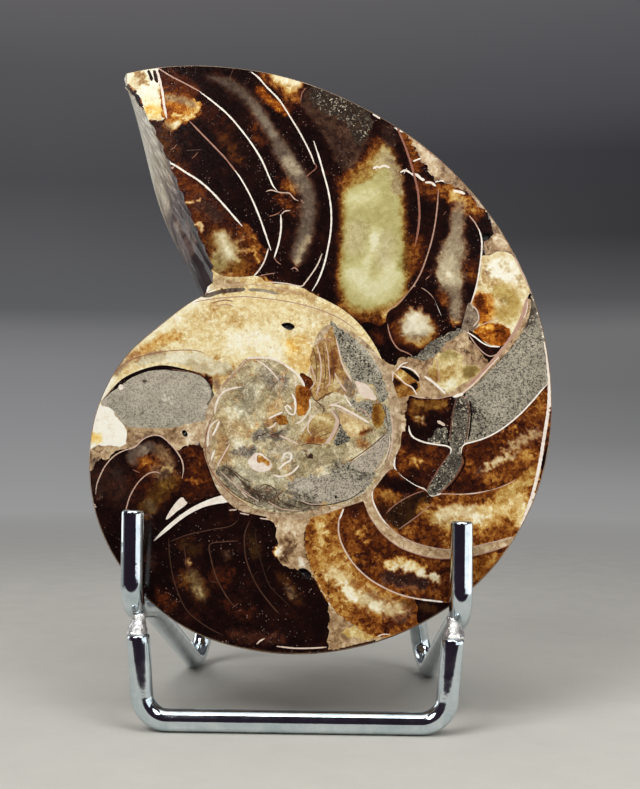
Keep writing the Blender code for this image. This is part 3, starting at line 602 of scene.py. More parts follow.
def paint_siphuncle(face):
    """The grey sediment of the right edge, and the tube that runs down through the septa."""
    face.area("calcite", [(19.9, 38.4), (22, 38.3), (25, 38.2), (28, 38.6), (28, 36), (27.4, 33),
        (27.2, 29.6), (25, 29.8), (22, 30.4), (20.5, 31.6), (19.8, 33.4), (19.6, 36)], glow=0.05)
    face.tint([(21, 37.3), (23.6, 36.9), (26, 37.4)], 0.5, 1.1, glow=0.44, green=0.45, ragged=1)
    face.tint([(20.8, 35.6), (21.6, 34.4)], 0.4, 1, glow=0.36, green=0.4, ragged=1)
    face.tint([(22, 34.6), (22.6, 33.8)], 0.12, 0.3, glow=0.7, milk=0.6, ragged=1.2)
    face.line([(25, 34.1), (25.7, 33.7), (26.4, 33.3)], 0.75, glow=0.86)
    face.area("sediment", [(23.2, 30.5), (23.8, 31.4), (24.8, 32.6), (26.2, 33), (27, 32.4), (27.1, 30.2),
        (25, 30.1)], wobble=0.5, glow=0.26, green=1, milk=1)
    face.area("calcite", [(18.6, 32), (20, 31.6), (22.4, 30.2), (27.4, 29.4), (27.4, 28.4), (25, 25),
        (23.4, 21.6), (21.4, 22), (18.7, 23.8), (17.3, 25.4), (17, 27), (18.2, 29)], glow=0.16)
    for points, reach, soft, glow, ragged in (
        ([(18.6, 28.6), (18.9, 25.8)], 0.5, 1.1, 0.38, 1),
        ([(19.8, 26.8), (22, 27), (23.6, 26.4)], 0.3, 1.4, 0.36, 1.2),
        ([(20.6, 26.9), (22, 26.5)], 0.15, 0.5, 0.68, 1.4),
        ([(22.4, 29.2), (25.6, 28.2)], 0.2, 0.7, 0.28, 1.2),
    ):
        face.tint(points, reach, soft, glow=glow, ragged=ragged)
    face.area("calcite", [(30, 30), (31, 30.2), (34, 31.2), (37, 33), (40, 35.5), (42.5, 38), (45.4, 41.6),
        (46.4, 38), (45.4, 32), (43.4, 26.4), (41, 24.8), (38, 22.8), (35, 21.6), (33, 21.2), (30, 20.8),
        (25.6, 20.6), (27, 22.5), (29.6, 26.5), (29.4, 29)], glow=0.28)
    face.tint([(43.6, 39), (43.4, 36), (41, 34.6)], 0.8, 1.4, glow=0.4, ragged=1)
    face.tint([(31.6, 29), (36, 30.6), (40, 33.4)], 0.5, 1.6, glow=0.24, ragged=1.2)
    face.tint([(33, 24.8), (34.4, 26.2), (36.6, 27.2), (38.4, 28.4)], 0.1, 0.7, glow=0.84, milk=0.5,
        ragged=1.4)
    face.tint([(38, 28.8), (40, 30.4), (41.8, 31.4), (43.4, 32)], 0.2, 1, glow=0.62, milk=0.5, ragged=1.6)
    for points, reach, soft, glow, ragged in (
        ([(37.8, 32.6), (39, 32.9)], 0.2, 0.6, 0.62, 1.4),
        ([(34, 23.4), (37.4, 25), (41, 27.4)], 0.5, 1.2, 0.46, 1.2),
        ([(40.4, 27.8), (42.4, 28.6)], 0.4, 0.9, 0.56, 1.2),
        ([(27.6, 22.4), (31, 22.8), (31.6, 26)], 0.6, 1.4, 0.17, 1),
        ([(30.6, 26.6), (31.4, 24.8)], 0.3, 0.9, 0.36, 1.2),
    ):
        face.tint(points, reach, soft, glow=glow, ragged=ragged)
    face.area("sediment", [(30.2, 39.2), (32.4, 41.1), (34.8, 43.7), (37.4, 46.3), (40, 49.8), (41.6, 52.6),
        (42.4, 55.4), (42.7, 58), (44.6, 54), (46, 46), (46.2, 41.6), (44.9, 41), (42.5, 38), (40, 35.4),
        (37, 32.9), (34, 31.1), (31.2, 30.2), (29.9, 30), (30.6, 33), (30.9, 36)], glow=0.5, green=0.85,
        milk=0.75)
    face.tint([(41.6, 57), (42.2, 54.4), (41.4, 52.4)], 0.5, 1, on=("sediment",), glow=0.2, green=0.4)
    face.tint([(33.6, 36), (38, 42), (42, 47)], 1, 4, on=("sediment",), glow=0.56, green=0.9, ragged=1)
    face.tint([(31.4, 31.4), (33.6, 33), (31.6, 36)], 0.3, 1, on=("sediment",), glow=0.4, milk=1, ragged=1)
    face.tint([(31.2, 37.2), (31.5, 34.4)], 0.15, 0.45, on=("sediment",), glow=0.05, milk=1, ragged=1.5)
    tube = [(28.3, 38.6), (27.8, 36), (27.4, 33), (27.3, 29.8), (27.4, 28.4), (25, 25), (23.2, 22),
        (22.9, 20.6), (24.6, 20.4), (26.2, 21.6), (28.2, 23.9), (29.4, 26.4), (29.2, 28.2), (30, 30.2),
        (30.5, 33), (30.7, 36), (30.3, 38.4)]
    face.area("sediment", tube, wobble=0.1, glow=0.31, green=0.9, milk=1)
    face.tint([(28.8, 37.6), (29.6, 36.8)], 0.4, 0.8, on=("sediment",), glow=0.02, milk=1, ragged=1.2)
    face.tint([(28.2, 27), (26.8, 24.6), (24.8, 22)], 0.6, 0.8, on=("sediment",), glow=0.24, milk=1,
        ragged=1)
    for points in (
        [(28.2, 38), (27.5, 36), (27.1, 33), (26.9, 30.4)],
        [(30.9, 38), (31.2, 36), (31, 33), (30.6, 30.6)],
        [(29.8, 28), (29.9, 26.2), (28.3, 23.3), (26.4, 21.3)],
    ):
        face.line(points, 0.3, kind="calcite", glow=0.06)
    for points, width, glow in (
        ([(28.6, 38.4), (27.9, 36), (27.5, 33), (27.2, 30.2)], 0.3, 0.34),
        ([(30.4, 38.2), (30.75, 36), (30.55, 33), (30.1, 30.2)], 0.3, 0.34),
        ([(28.5, 38.5), (29.5, 38.8), (30.5, 38.3)], 0.24, 0.62),
        ([(27.3, 28.3), (25, 25), (23.3, 22), (22.9, 20.9)], 0.3, 0.4),
        ([(29.3, 28), (29.5, 26.4), (28, 23.6), (26.2, 21.6), (25, 20.7)], 0.3, 0.4),
        ([(41.8, 57.6), (41.2, 55.4), (40.2, 52.6), (38.6, 49.8), (36.6, 47.1), (34.6, 44.7), (32, 41.9),
          (30.2, 40.3)], 0.8, 0.68),
        ([(36.4, 46.2), (34.4, 44), (32, 41.4), (30.1, 39.7), (28.8, 38.9)], 0.34, 0.92),
        ([(27.9, 38.6), (28.8, 38.9), (29.8, 39.2)], 0.7, 1),
        ([(41.9, 56.8), (41.6, 55), (41, 53.4)], 0.28, 0.9),
        ([(29.3, 28.1), (29.5, 29.4), (30.2, 30), (31.2, 30.25), (34, 31.2), (37, 32.95), (40, 35.45),
          (42.5, 38.1), (44, 39.9), (45.3, 41.3)], 0.36, 1),
        ([(19.8, 33.2), (20, 32), (20.7, 31), (22.5, 30.2), (25, 29.75), (26.8, 29.5), (27.5, 28.9),
          (27.3, 28)], 0.4, 1),
        ([(17.4, 28.6), (17.2, 26.6), (17.3, 25.3), (18.4, 23.9), (20.8, 22.3), (22.6, 21.6), (23.2, 20.9)],
          0.42, 1),
        ([(22.8, 21.2), (23.3, 20.5), (24, 20.2), (24.8, 20.3), (25.6, 20.9)], 0.62, 1),
        ([(25.4, 20.8), (27.4, 20.7), (30, 20.75), (33, 21.15), (35.4, 21.7), (38.2, 22.9), (41, 24.7),
          (43.5, 26.6)], 0.34, 0.82),
        ([(29, 20.4), (32, 20.6), (35, 21.1), (38, 22.2), (41, 24), (43.3, 25.9)], 0.2, 0.6),
    ):
        face.line(points, width, glow=glow)


def paint_lower_right(face):
    """Amber and honey chambers between the curved septa."""
    face.area("calcite", [(17.2, 25.2), (18.6, 23.8), (21, 22.2), (22.8, 21.4), (23.9, 20.3), (26, 20.7),
        (30, 20.7), (33, 21.1), (38, 22.8), (43.5, 26.6), (42.4, 20), (39.4, 12.6), (34, 11.9), (31, 11.3),
        (26.5, 10.8), (24, 11), (21, 11.8), (18, 13.2), (15.2, 15.8), (13.8, 18), (13.2, 20.3),
        (13.8, 22.2), (15.2, 24.2)], glow=0.42)
    face.tint([(15.4, 23), (16.6, 22.6), (20, 21.9)], 0.8, 1.2, glow=0.06)
    face.tint([(15.8, 20.6), (16.8, 20.2)], 0.3, 1.2, glow=0.5, green=0.2, ragged=1)
    face.tint([(14.6, 18.6), (16, 16.6)], 0.4, 1.2, glow=0.2, green=0.3)
    face.fill([(15.6, 17), (18.4, 19.6), (22.6, 21.3), (23.8, 19.2), (20.6, 16.2), (18, 14.3)], 0.6,
        glow=0.17, green=0.75)
    face.tint([(21.8, 20.2), (23, 19.6)], 0.3, 1.2, glow=0.12)
    face.tint([(22.6, 15.6), (24.6, 13), (21.4, 12.8)], 0.6, 1.4, glow=0.3, ragged=1)
    face.tint([(22.6, 18.2), (24.2, 16.4), (26.4, 15.4)], 0.5, 1.4, glow=0.54, green=0.2, ragged=1)
    face.tint([(25, 19.4), (29, 19.3), (33.6, 19.9), (37.4, 21)], 0.5, 1.2, glow=0.36, ragged=1)
    face.tint([(25.6, 16.8), (28, 17.3), (31, 17.6)], 0.6, 1.2, glow=0.82, milk=0.4, ragged=1.2)
    face.tint([(31.6, 16.4), (34, 17.6), (36.6, 18.2), (39.6, 19.6)], 0.8, 1.6, glow=0.78, ragged=1.2)
    face.tint([(31.8, 16.4), (33.4, 16.8)], 0.3, 0.8, glow=0.96, milk=0.4, ragged=1.2)
    face.tint([(36.6, 20.4), (40, 22.6), (42.2, 24.8)], 0.5, 1.2, glow=0.66, green=0.2, ragged=1)
    for points, reach, soft, glow, ragged in (
        ([(39.4, 15.4), (40.6, 18.4)], 0.5, 1, 0.84, 1),
        ([(32.4, 13.4), (35.4, 14.4), (38.2, 14.8)], 0.6, 1, 0.42, 1.2),
        ([(31.4, 14.8), (35.6, 16)], 0.3, 0.7, 0.66, 1.2),
    ):
        face.tint(points, reach, soft, glow=glow, ragged=ragged)
    face.area("calcite", [(8, 18), (9.6, 19.2), (11.6, 20), (12.2, 18.2), (13.4, 15.6), (15.4, 13.1),
        (18, 11.2), (21, 10), (24, 9.3), (26.5, 9.2), (31, 9.7), (34, 10.4), (38.6, 12), (34, 6), (30, 2),
        (26, 1.4), (21, 2), (18, 2.7), (15, 4), (12.5, 5.5), (10, 8), (8.3, 10.5), (7.3, 13), (7.2, 15.5)],
        glow=0.27)
    face.tint([(9.6, 17.2), (10.6, 18.4)], 0.5, 1.2, glow=0.16)
    for points, reach, soft, glow, ragged in (
        ([(9.4, 14.8), (11.4, 14.2)], 0.4, 1.4, 0.42, 1.2),
        ([(10.8, 13.8), (11.8, 12.4)], 0.1, 0.5, 0.66, 1.6),
        ([(9.4, 11.6), (11.6, 8.8), (14.2, 6.6)], 0.5, 1.3, 0.36, 1.2),
        ([(16, 9.4), (18.6, 8.6), (21, 8.4), (24, 8.4)], 0.4, 1, 0.24, 1),
        ([(16.4, 7.8), (18.4, 8.3), (20.4, 7.8), (22, 7)], 0.35, 1, 0.78, 1.4),
    ):
        face.tint(points, reach, soft, glow=glow, ragged=ragged)
    face.tint([(17.4, 7.6), (19.4, 7.5), (21, 6.7), (23, 6.1), (25.4, 5.5)], 0.12, 0.6, glow=0.92, milk=0.6,
        ragged=1.6)
    face.tint([(16, 5.6), (19, 5.1), (22, 4.6)], 0.5, 1, glow=0.17, milk=0.4, ragged=1)
    for points, reach, soft, glow, ragged in (
        ([(15.6, 4.6), (18.6, 3.6), (22, 3.4), (25, 3)], 0.2, 0.8, 0.4, 1.2),
        ([(23.6, 8.6), (25.4, 8.2)], 0.4, 1, 0.38, 1),
        ([(31.6, 8.6), (33.2, 8.2), (35, 9.2)], 0.6, 1.2, 0.52, 1.2),
        ([(31.6, 5.4), (32.6, 6.6)], 0.5, 1, 0.44, 1.2),
    ):
        face.tint(points, reach, soft, glow=glow, ragged=ragged)
    face.area("calcite", [(0.4, 16.2), (2.6, 16.8), (4.6, 17.2), (7.9, 18), (7.3, 15.5), (7.3, 13),
        (8.3, 10.5), (10, 8), (12.5, 5.5), (15, 4), (18, 2.7), (21, 2), (21.6, 0.6), (21.4, -3), (17, -4.8),
        (13.4, -5.2), (11, -3.5), (8, -1.5), (5.5, 1), (3.5, 4.4), (2, 8), (1.2, 11), (1.2, 14)], glow=0.54)
    for points, reach, soft, glow, ragged in (
        ([(2, 14.4), (2.6, 12.6), (2.6, 10)], 0.4, 1.2, 0.4, 1),
        ([(3.8, 14.6), (4.4, 13), (4.2, 11.6)], 0.3, 1.1, 0.78, 1.2),
        ([(6.4, 15.4), (6.2, 12.4)], 0.5, 1.2, 0.45, 1),
        ([(4.6, 9.4), (6.6, 8.6), (8.4, 7.6)], 0.8, 1.6, 0.6, 1),
        ([(4.6, 5.6), (5.6, 4.2)], 0.5, 1.2, 0.4, 1.2),
    ):
        face.tint(points, reach, soft, glow=glow, ragged=ragged)
    for points, reach, soft, glow, milk, ragged in (
        ([(6, 6.2), (8, 5.4), (9.4, 3.6), (11, 1.9)], 0.5, 1.3, 0.82, 0.2, 1.2),
        ([(8.2, 4.6), (9.4, 2.6), (10.2, 1.8)], 0.2, 0.7, 0.97, 0.3, 1.4),
        ([(12.4, 2), (14, 1), (16.4, 0.2), (18.6, -0.4)], 0.5, 1.4, 0.76, 0.45, 1.4),
        ([(12.8, 0.8), (14.6, 0.4)], 0.2, 0.7, 0.93, 0.5, 1.4),
    ):
        face.tint(points, reach, soft, glow=glow, milk=milk, ragged=ragged)
    for points, reach, soft, glow in (
        ([(10.6, -0.6), (12.8, -2.2), (15.4, -3.4)], 0.5, 1.2, 0.36),
        ([(16.4, -2.4), (19, -2.2), (20.8, -0.4)], 0.5, 1.3, 0.34),
        ([(10.4, 4.6), (13, 3.4), (17, 2)], 0.3, 1.1, 0.56),
    ):
        face.tint(points, reach, soft, glow=glow, ragged=1)
    face.tint([(19, 1.4), (20.6, 1)], 0.3, 0.9, glow=0.34, green=0.3)
    face.area("calcite", [(20.9, 1.9), (23, 1.7), (26.2, 1.4), (28, 0.6), (26, -1.6), (22.2, -3),
        (21.2, -1.4), (21.4, 0.4)], glow=0.05)
    face.tint([(22.6, 0.6), (24.2, 0.2)], 0.2, 0.9, glow=0.2, green=0.7)
    face.area("matrix", [(11.6, 20), (11.9, 18.6), (13.1, 15.9), (15.3, 13.2), (17.8, 11.3), (21, 10.05),
        (24, 9.3), (26.5, 9.2), (31, 9.75), (34, 10.5), (39.4, 12.3), (39.6, 13.4), (37, 12.9), (34, 12),
        (31, 11.3), (26.5, 10.8), (24, 11.05), (21, 11.9), (18, 13.3), (15.3, 15.9), (13.9, 18),
        (13.2, 20.3), (13.6, 21.8), (12.6, 21.4)], glow=0.62)
    for points, width, glow in (
        ([(15.4, 24.4), (14.2, 23), (13.3, 21.4), (13.3, 19.6), (14, 17.8), (15.1, 16), (16.2, 14.9)], 0.36,
          0.97),
        ([(16.2, 14.9), (18.2, 13.2), (21, 11.9), (24, 11.1), (27, 10.8), (31, 11.3), (34.4, 12.1),
          (39.2, 13.2)], 0.24, 0.74),
        ([(12.2, 18.2), (13.4, 15.6), (15.5, 13.1), (18, 11.2), (21, 10), (24, 9.3), (27, 9.2), (31, 9.7),
          (34, 10.4), (38.6, 12)], 0.24, 0.66),
        ([(7.9, 17.8), (7.25, 15.8), (7.25, 13.4), (8.1, 10.9), (9.9, 8.1), (12.4, 5.7), (15, 4.1),
          (18, 2.8), (21.4, 2), (25.9, 1.5)], 0.34, 0.84),
        ([(8.1, 17.9), (7.4, 16)], 0.3, 1),
        ([(22, 1.9), (24, 1.7), (25.9, 1.5)], 0.42, 1),
        ([(15.7, 17.1), (17.2, 18.6), (19, 19.8), (21, 20.8), (22.6, 21.3)], 0.22, 0.55),
        ([(18, 14.3), (19.4, 15.3), (21.2, 16.6), (22.6, 17.8), (23.9, 18.9)], 0.24, 0.6),
        ([(14.2, -4.7), (15.2, -4.3), (16.4, -4.3)], 0.3, 0.9),
    ):
        face.line(points, width, glow=glow)


def paint_bottom(face):
    """The matrix wedges at the bottom and the near-black chambers with their faint septa."""
    face.area("matrix", [(-6, 17), (-4.4, 14.8), (-3.6, 11), (-3.4, 8.4), (-2.2, 7.5), (-0.4, 7),
        (1.2, 6.4), (2.6, 5.6), (4, 3.6), (5.4, 1.4), (5.6, -2), (5.5, -6.4), (5.6, -8.6), (11, -7.8),
        (17, -5.6), (15.6, -4.6), (13.4, -5), (11, -3.4), (8, -1.4), (5.6, 1.1), (3.5, 4.5), (2, 8),
        (1.2, 11), (1.2, 14), (1.6, 16.6)], wobble=0.3, glow=0.58)
    face.tint([(-2.4, 12.6), (-1.2, 11.8), (-2.2, 9.6), (-2.6, 8.6)], 0.4, 0.7, on=("matrix",), glow=0.22,
        ragged=1.5)
    face.tint([(-3.2, 13.8), (-1.2, 14.6), (0.4, 12)], 0.4, 0.9, on=("matrix",), glow=0.78, ragged=1.2)
    face.tint([(0.3, 8.6), (0.8, 7.7)], 0.3, 0.5, on=("matrix",), glow=0.9, green=0.6)
    face.tint([(3, 4.8), (4.4, 3), (6.4, 0.6), (8.6, -1.5)], 0.25, 0.5, on=("matrix",), glow=0.82)
    face.tint([(6.6, -1.8), (8.2, -4), (6.6, -5.6)], 0.5, 1, on=("matrix",), glow=0.44, ragged=1.2)
    face.area("calcite", [(8.2, -3.6), (9.8, -2.9), (11.6, -3.8), (13.4, -4.9), (12, -5.4), (10, -4.8),
        (8.6, -4.6)], wobble=0.4, glow=0.72, green=0.3)
    face.tint([(-3.7, 11.2), (-3.7, 9.4)], 0.2, 0.3, on=("matrix", "calcite"), glow=0.98, ragged=1)
    face.pit([(0.1, 6.95), (1.3, 7.1), (2.4, 6.2), (2.3, 5.5), (1.6, 5.2), (0.7, 5.9)], 1.1)
    face.line([(5.5, 5.4), (5.6, 1.2)], 0.1, kind="calcite", glow=0.2)
    face.line([(-3.6, -6.6), (-0.4, -6.9), (2.6, -6.85), (5.3, -6.65)], 0.34, glow=0.88)
    face.line([(-24.2, -1.2), (-18, -4.8), (-12, -6.6), (-6, -7.5), (0, -7.9), (7, -7.3), (14, -5.4)], 0.7,
        kind="calcite", glow=0.16, green=0.3)
    for points, reach, soft, glow, green, milk in (
        ([(-20.2, 5), (-19, 4.4), (-17.6, 3)], 0.7, 1.6, 0.3, 0.4, 0),
        ([(-18.8, 5.8), (-17.8, 3.4), (-17, 1.9)], 0.4, 1.1, 0.36, 0.85, 0.3),
        ([(-17.9, 3.3), (-17.4, 2.8)], 0.1, 0.5, 0.66, 0.6, 0.4),
        ([(-14.6, 5.8), (-13.2, 4.2), (-12.6, 6.2)], 0.4, 1.5, 0.19, 0, 0),
        ([(-24.4, 1.6), (-22.6, 0.4)], 0.4, 1.4, 0.22, 0, 0),
        ([(-12.4, 1), (-10.6, -0.4), (-8.6, -1.2)], 0.4, 1.5, 0.18, 0, 0),
        ([(-26.8, 8.8), (-26.4, 7.6)], 0.4, 1.3, 0.2, 0, 0.4),
        ([(-2.8, 5.6), (-1.2, 3.4), (0.2, 1.4)], 0.3, 1.2, 0.2, 0.5, 0),
        ([(-2, 4), (-0.8, 2)], 0.1, 0.6, 0.36, 0.5, 0.5),
        ([(-8.4, 12.6), (-7.6, 9.6)], 0.4, 1.2, 0.18, 0.9, 0),
        ([(-20.5, 11.2), (-18.5, 10.2)], 0.4, 1.4, 0.19, 0.8, 0),
        ([(-19.8, 8.2), (-19.4, 7.2)], 0.1, 0.4, 0.5, 0.3, 0.3),
        ([(-13.2, 9.8), (-12.6, 9.2)], 0.2, 0.8, 0.3, 0.3, 0.5),
        ([(-11.6, -4.4), (-7.6, -5.2), (-3, -5.2)], 0.3, 1.1, 0.2, 0, 0.2),
    ):
        face.tint(points, reach, soft, glow=glow, green=green, milk=milk, ragged=0.9)
    for points, width, glow in (
        ([(-23.4, 12.2), (-23.1, 9.2), (-22.4, 5.6), (-21.2, 2.2), (-19.6, -0.6), (-16.6, -3), (-13, -4.9)],
          0.26, 0.2),
        ([(-23.1, 11.6), (-20.2, 12.8), (-16, 13.8), (-12.4, 14.5), (-11, 15.6)], 0.26, 0.22),
        ([(-20.6, 11.2), (-20.1, 8.4), (-19.2, 6)], 0.22, 0.2),
        ([(-10.8, 11.9), (-13.4, 11.7), (-15.9, 11.2), (-15.6, 8.6), (-14.6, 5.4), (-12.8, 2.2),
          (-11.3, 0.3)], 0.32, 0.24),
        ([(-11.6, 0), (-10.4, 0.9)], 0.22, 0.3),
        ([(-8.8, 15.6), (-9.7, 13), (-9.5, 9.5), (-8.5, 6.4), (-7, 3.6), (-5, 1), (-3.2, -1)], 0.32, 0.22),
        ([(-7.9, 14.4), (-7.4, 11), (-6.4, 7.5), (-5, 4), (-2.6, 1.6), (-1, 0)], 0.18, 0.14),
        ([(-15.8, 4.6), (-14.4, 4.5)], 0.14, 0.3),
        ([(-4.9, 7.6), (-5.6, 6.6)], 0.14, 0.2),
    ):
        face.line(points, width, glow=glow)
    face.line([(-7.1, -6.3), (-6.5, -5.7), (-5.7, -5.3)], 0.36, glow=0.9)
    face.area("shell", [(-26, 11.7), (-24.9, 13.2), (-23.2, 14.9), (-21.4, 16.4), (-19.2, 17.9),
        (-16.8, 19.1), (-14.6, 19.9), (-13.6, 20), (-12.9, 18.9), (-14.8, 18.5), (-17.2, 17.9),
        (-19.6, 16.7), (-21.6, 15.3), (-23.7, 13.5)], glow=1)
    face.area("shell", [(-24, 15.6), (-23.3, 17.2), (-22.1, 18.9), (-21.3, 19.6), (-20.6, 19.3),
        (-20.2, 18.6), (-20.9, 17.9), (-22, 17.1), (-23.2, 16)], glow=0.97)
    for points in ([(-12.6, 17.4), (-11.2, 17.5)], [(-10.6, 16.9), (-9, 16.6)], [(-7, 16), (-5.4, 15.8)]):
        face.line(points, 0.3, glow=0.85, thin=(0.6, 0.6))


def paint_left(face):
    """The dark chambers behind the left finger, the grey sediment lens and the cream calcite above them."""
    for points, reach, soft, glow, milk, ragged in (
        ([(-36.4, 22), (-34, 24.6), (-32.4, 20)], 0.6, 2.4, 0.12, 0.35, 1.2),
        ([(-36.4, 21.2), (-35.8, 19.8)], 0.2, 0.9, 0.34, 0.6, 1.2),
        ([(-33.4, 24.4), (-33, 22.8)], 0.1, 0.8, 0.24, 0.7, 1.4),
    ):
        face.tint(points, reach, soft, glow=glow, milk=milk, ragged=ragged)
    face.tint([(-34.6, 22), (-31, 21), (-27, 20.6), (-24.6, 23)], 1.6, 2.6, glow=0.155, ragged=0.6)
    face.tint([(-30.6, 26.4), (-30.2, 28), (-28.4, 28.8), (-26.4, 28.6)], 0.5, 0.9, glow=0.36, milk=0.85,
        ragged=0.8)
    face.tint([(-28.9, 27.6), (-27.9, 28)], 0.2, 0.6, glow=0.6, milk=0.9, ragged=1.2)
    face.tint([(-29, 26.2), (-27.4, 25.6), (-25.4, 26)], 0.8, 1.3, glow=0.32, honey=0.12, ragged=0.8)
    face.tint([(-28.2, 26.2), (-27.2, 26)], 0.2, 0.6, glow=0.42, honey=0.3)
    face.tint([(-25.4, 28.2), (-23.8, 25.4), (-25.4, 24.2)], 0.6, 1.4, glow=0.42, green=0.4, milk=0.4,
        ragged=0.8)
    face.tint([(-24.8, 25.2), (-23.2, 24.6)], 0.1, 0.5, glow=0.7, milk=0.3, ragged=1.2)
    face.tint([(-27.4, 17.6), (-25.6, 20.2), (-23.6, 22.4)], 0.8, 1.6, glow=0.3, green=0.7, ragged=0.8)
    face.tint([(-24.4, 21.8), (-22.6, 22.8)], 0.5, 1.3, glow=0.34, ragged=1)
    face.tint([(-27.2, 18.4), (-26.6, 17.4)], 0.3, 0.9, glow=0.36, green=0.95, milk=0.3)
    face.area("calcite", [(-22.2, 28.2), (-21, 29.2), (-19.4, 29.2), (-18.4, 29.6), (-17.6, 28.4),
        (-16.8, 25), (-15.4, 21.8), (-14.4, 20.2), (-17, 19.6), (-20, 18.6), (-21.4, 21), (-21, 24.6)],
        glow=0.16)
    face.tint([(-19.8, 27.6), (-18.6, 25.4), (-17.6, 23)], 0.5, 1.6, glow=0.27, ragged=1.2)
    face.tint([(-20.4, 22.7), (-18.4, 22.4)], 0.1, 0.4, glow=0.4, ragged=1.4)
    face.area("matrix", [(-39, 36), (-38.8, 28), (-38.4, 24), (-36.6, 26.4), (-35.4, 26.2), (-34, 27.6),
        (-32, 28.4), (-30.4, 28.6), (-28.6, 30.2), (-27, 30.9), (-25.4, 30.6), (-23.8, 29.4), (-22.3, 28.2),
        (-21, 29.1), (-19.4, 29.2), (-18.4, 29.6), (-17.4, 28.4), (-16.4, 30), (-16.8, 34), (-20, 34.4),
        (-26, 33), (-32, 33.4), (-36, 38)], wobble=0.25, glow=0.6)
    face.tint([(-31.2, 31.4), (-30.6, 29.8), (-24.4, 31), (-22.8, 30.4)], 0.5, 0.9, on=("matrix",),
        glow=0.42, ragged=1.4)
    face.tint([(-20.2, 30), (-20.4, 32.6)], 0.3, 0.6, on=("matrix",), glow=0.84, ragged=1)
    face.tint([(-38.2, 27), (-37.4, 25.6), (-36.6, 24)], 0.3, 0.8, on=("matrix",), glow=0.24, green=0.3,
        ragged=1.2)
    face.tint([(-36.2, 27.9), (-33, 28.4)], 0.3, 0.5, on=("matrix",), glow=0.62, ragged=1)
    face.area("calcite", [(-39.5, 38), (-36.8, 36.6), (-36.3, 36.2), (-35, 35.9), (-33.6, 34.2),
        (-32, 32.2), (-31.7, 30.6), (-32, 29.1), (-34, 28.8), (-36.4, 29), (-39.6, 28.8)], wobble=0.2,
        glow=1, milk=0.6)
    face.tint([(-38, 30.6), (-37, 30.3)], 0.4, 0.9, glow=0.82, milk=0, honey=0.8)
    face.area("calcite", [(-36.8, 36.6), (-37.6, 39.6), (-32, 50), (-24, 55.6), (-18.6, 59), (-17.6, 62.4),
        (-15, 61.2), (-11.6, 61), (-8.4, 61.2), (-6.4, 59.9), (-3, 59.6), (0, 59), (1.7, 58), (5, 56.4),
        (8, 54.6), (11, 51.8), (13.4, 48.4), (15, 45), (15.8, 41), (11, 38), (5, 37), (0, 40), (-4, 44),
        (-10, 45.4), (-12, 41), (-16, 38), (-16.4, 42), (-20, 43), (-26, 44), (-32, 42), (-35.4, 38.8)],
        glow=0.85, milk=0.12)
    face.tint([(-18, 58.6), (-24, 54), (-30, 49), (-34.4, 44), (-37, 38.6)], 0.9, 1, glow=0.99, milk=0.5,
        ragged=0.2)
    face.tint([(-31, 49), (-26, 52.6), (-22, 55)], 0.8, 1.8, glow=0.93, milk=0.2, ragged=0.8)
    face.tint([(-31.4, 45.6), (-28.4, 47.4), (-26, 49), (-23, 49.4)], 0.4, 1, glow=0.7, honey=0.3, ragged=1)
    face.tint([(-31.6, 45.2), (-29.6, 46.2)], 0.3, 0.7, glow=0.58, ragged=1)
    face.tint([(-25.8, 47.6), (-25.2, 47.9)], 0.15, 0.3, glow=0.6)
    face.tint([(-34.6, 42.4), (-32, 44.6), (-29, 45.6), (-26, 46.2)], 0.3, 0.7, glow=0.62, milk=0.6,
        ragged=0.8)
    face.fill([(-31, 44.4), (-25.6, 46.2), (-20, 46.6), (-16.4, 45.2), (-13.4, 44.6), (-13, 42.6),
        (-17.8, 42.4), (-21.3, 44.1), (-25.5, 44.8), (-29.7, 44)], 0.5, glow=0.84, green=0.45, milk=0.6,
        ragged=0.8)
    face.tint([(-24, 45.4), (-20, 45.5), (-17, 44.2)], 0.2, 0.9, glow=0.93, milk=0.5, ragged=1.2)
    for points, reach, soft, glow in (
        ([(-19.6, 52.6), (-16, 53.6), (-12.6, 53)], 0.8, 1.8, 0.79),
        ([(-16.6, 55), (-15.2, 54.6)], 0.2, 0.7, 0.66),
        ([(-13.4, 52.8), (-12, 52.2)], 0.3, 0.8, 0.72),
    ):
        face.tint(points, reach, soft, glow=glow, ragged=1.4)
    face.fill([(-1.6, 49.6), (0.6, 49.8), (2, 48.4), (2.4, 46), (1.6, 43.8), (0.4, 43), (-1.4, 43.8),
        (-2.6, 45.6), (-2.8, 48)], 0.5, glow=0.8, honey=0.35, ragged=0.3)
    face.tint([(-2.4, 48.2), (-1.8, 47.2)], 0.5, 0.8, glow=0.78, honey=0.9)
    face.line([(1.2, 49.6), (2.2, 47.6), (2.3, 45.4), (1.4, 43.4)], 0.14, glow=0.85)
    face.tint([(-12, 48.4), (-8, 49.4), (-5, 47.2)], 1, 2.2, glow=0.95, milk=0.2, ragged=1)
    for points, reach, soft, glow, ragged in (
        ([(-20, 44.4), (-17, 43.4)], 0.5, 0.9, 0.76, 1),
        ([(-15.6, 45.8), (-15, 44.6)], 0.1, 0.35, 0.58, 1.2),
        ([(-15.8, 41.6), (-14, 42.2), (-12.4, 43.2)], 0.3, 0.7, 0.62, 1),
    ):
        face.tint(points, reach, soft, glow=glow, ragged=ragged)
    face.tint([(-15.6, 41), (-15.2, 40)], 0.3, 0.6, glow=0.5, milk=0.6)
    face.tint([(2.4, 54.4), (6, 52.6), (8.6, 50.6)], 0.8, 1.4, glow=0.8, milk=0.3, ragged=1)
    face.tint([(-16.4, 60), (-13.8, 60.2), (-12, 59.6)], 0.6, 0.9, glow=0.68, milk=0.5, ragged=1.2)
    face.tint([(-11, 60), (-8.6, 60.4), (-6, 59.2)], 0.4, 0.7, glow=0.76, ragged=1)
    face.tint([(-14.2, 60.3), (-13.6, 60)], 0.1, 0.3, glow=0.4)
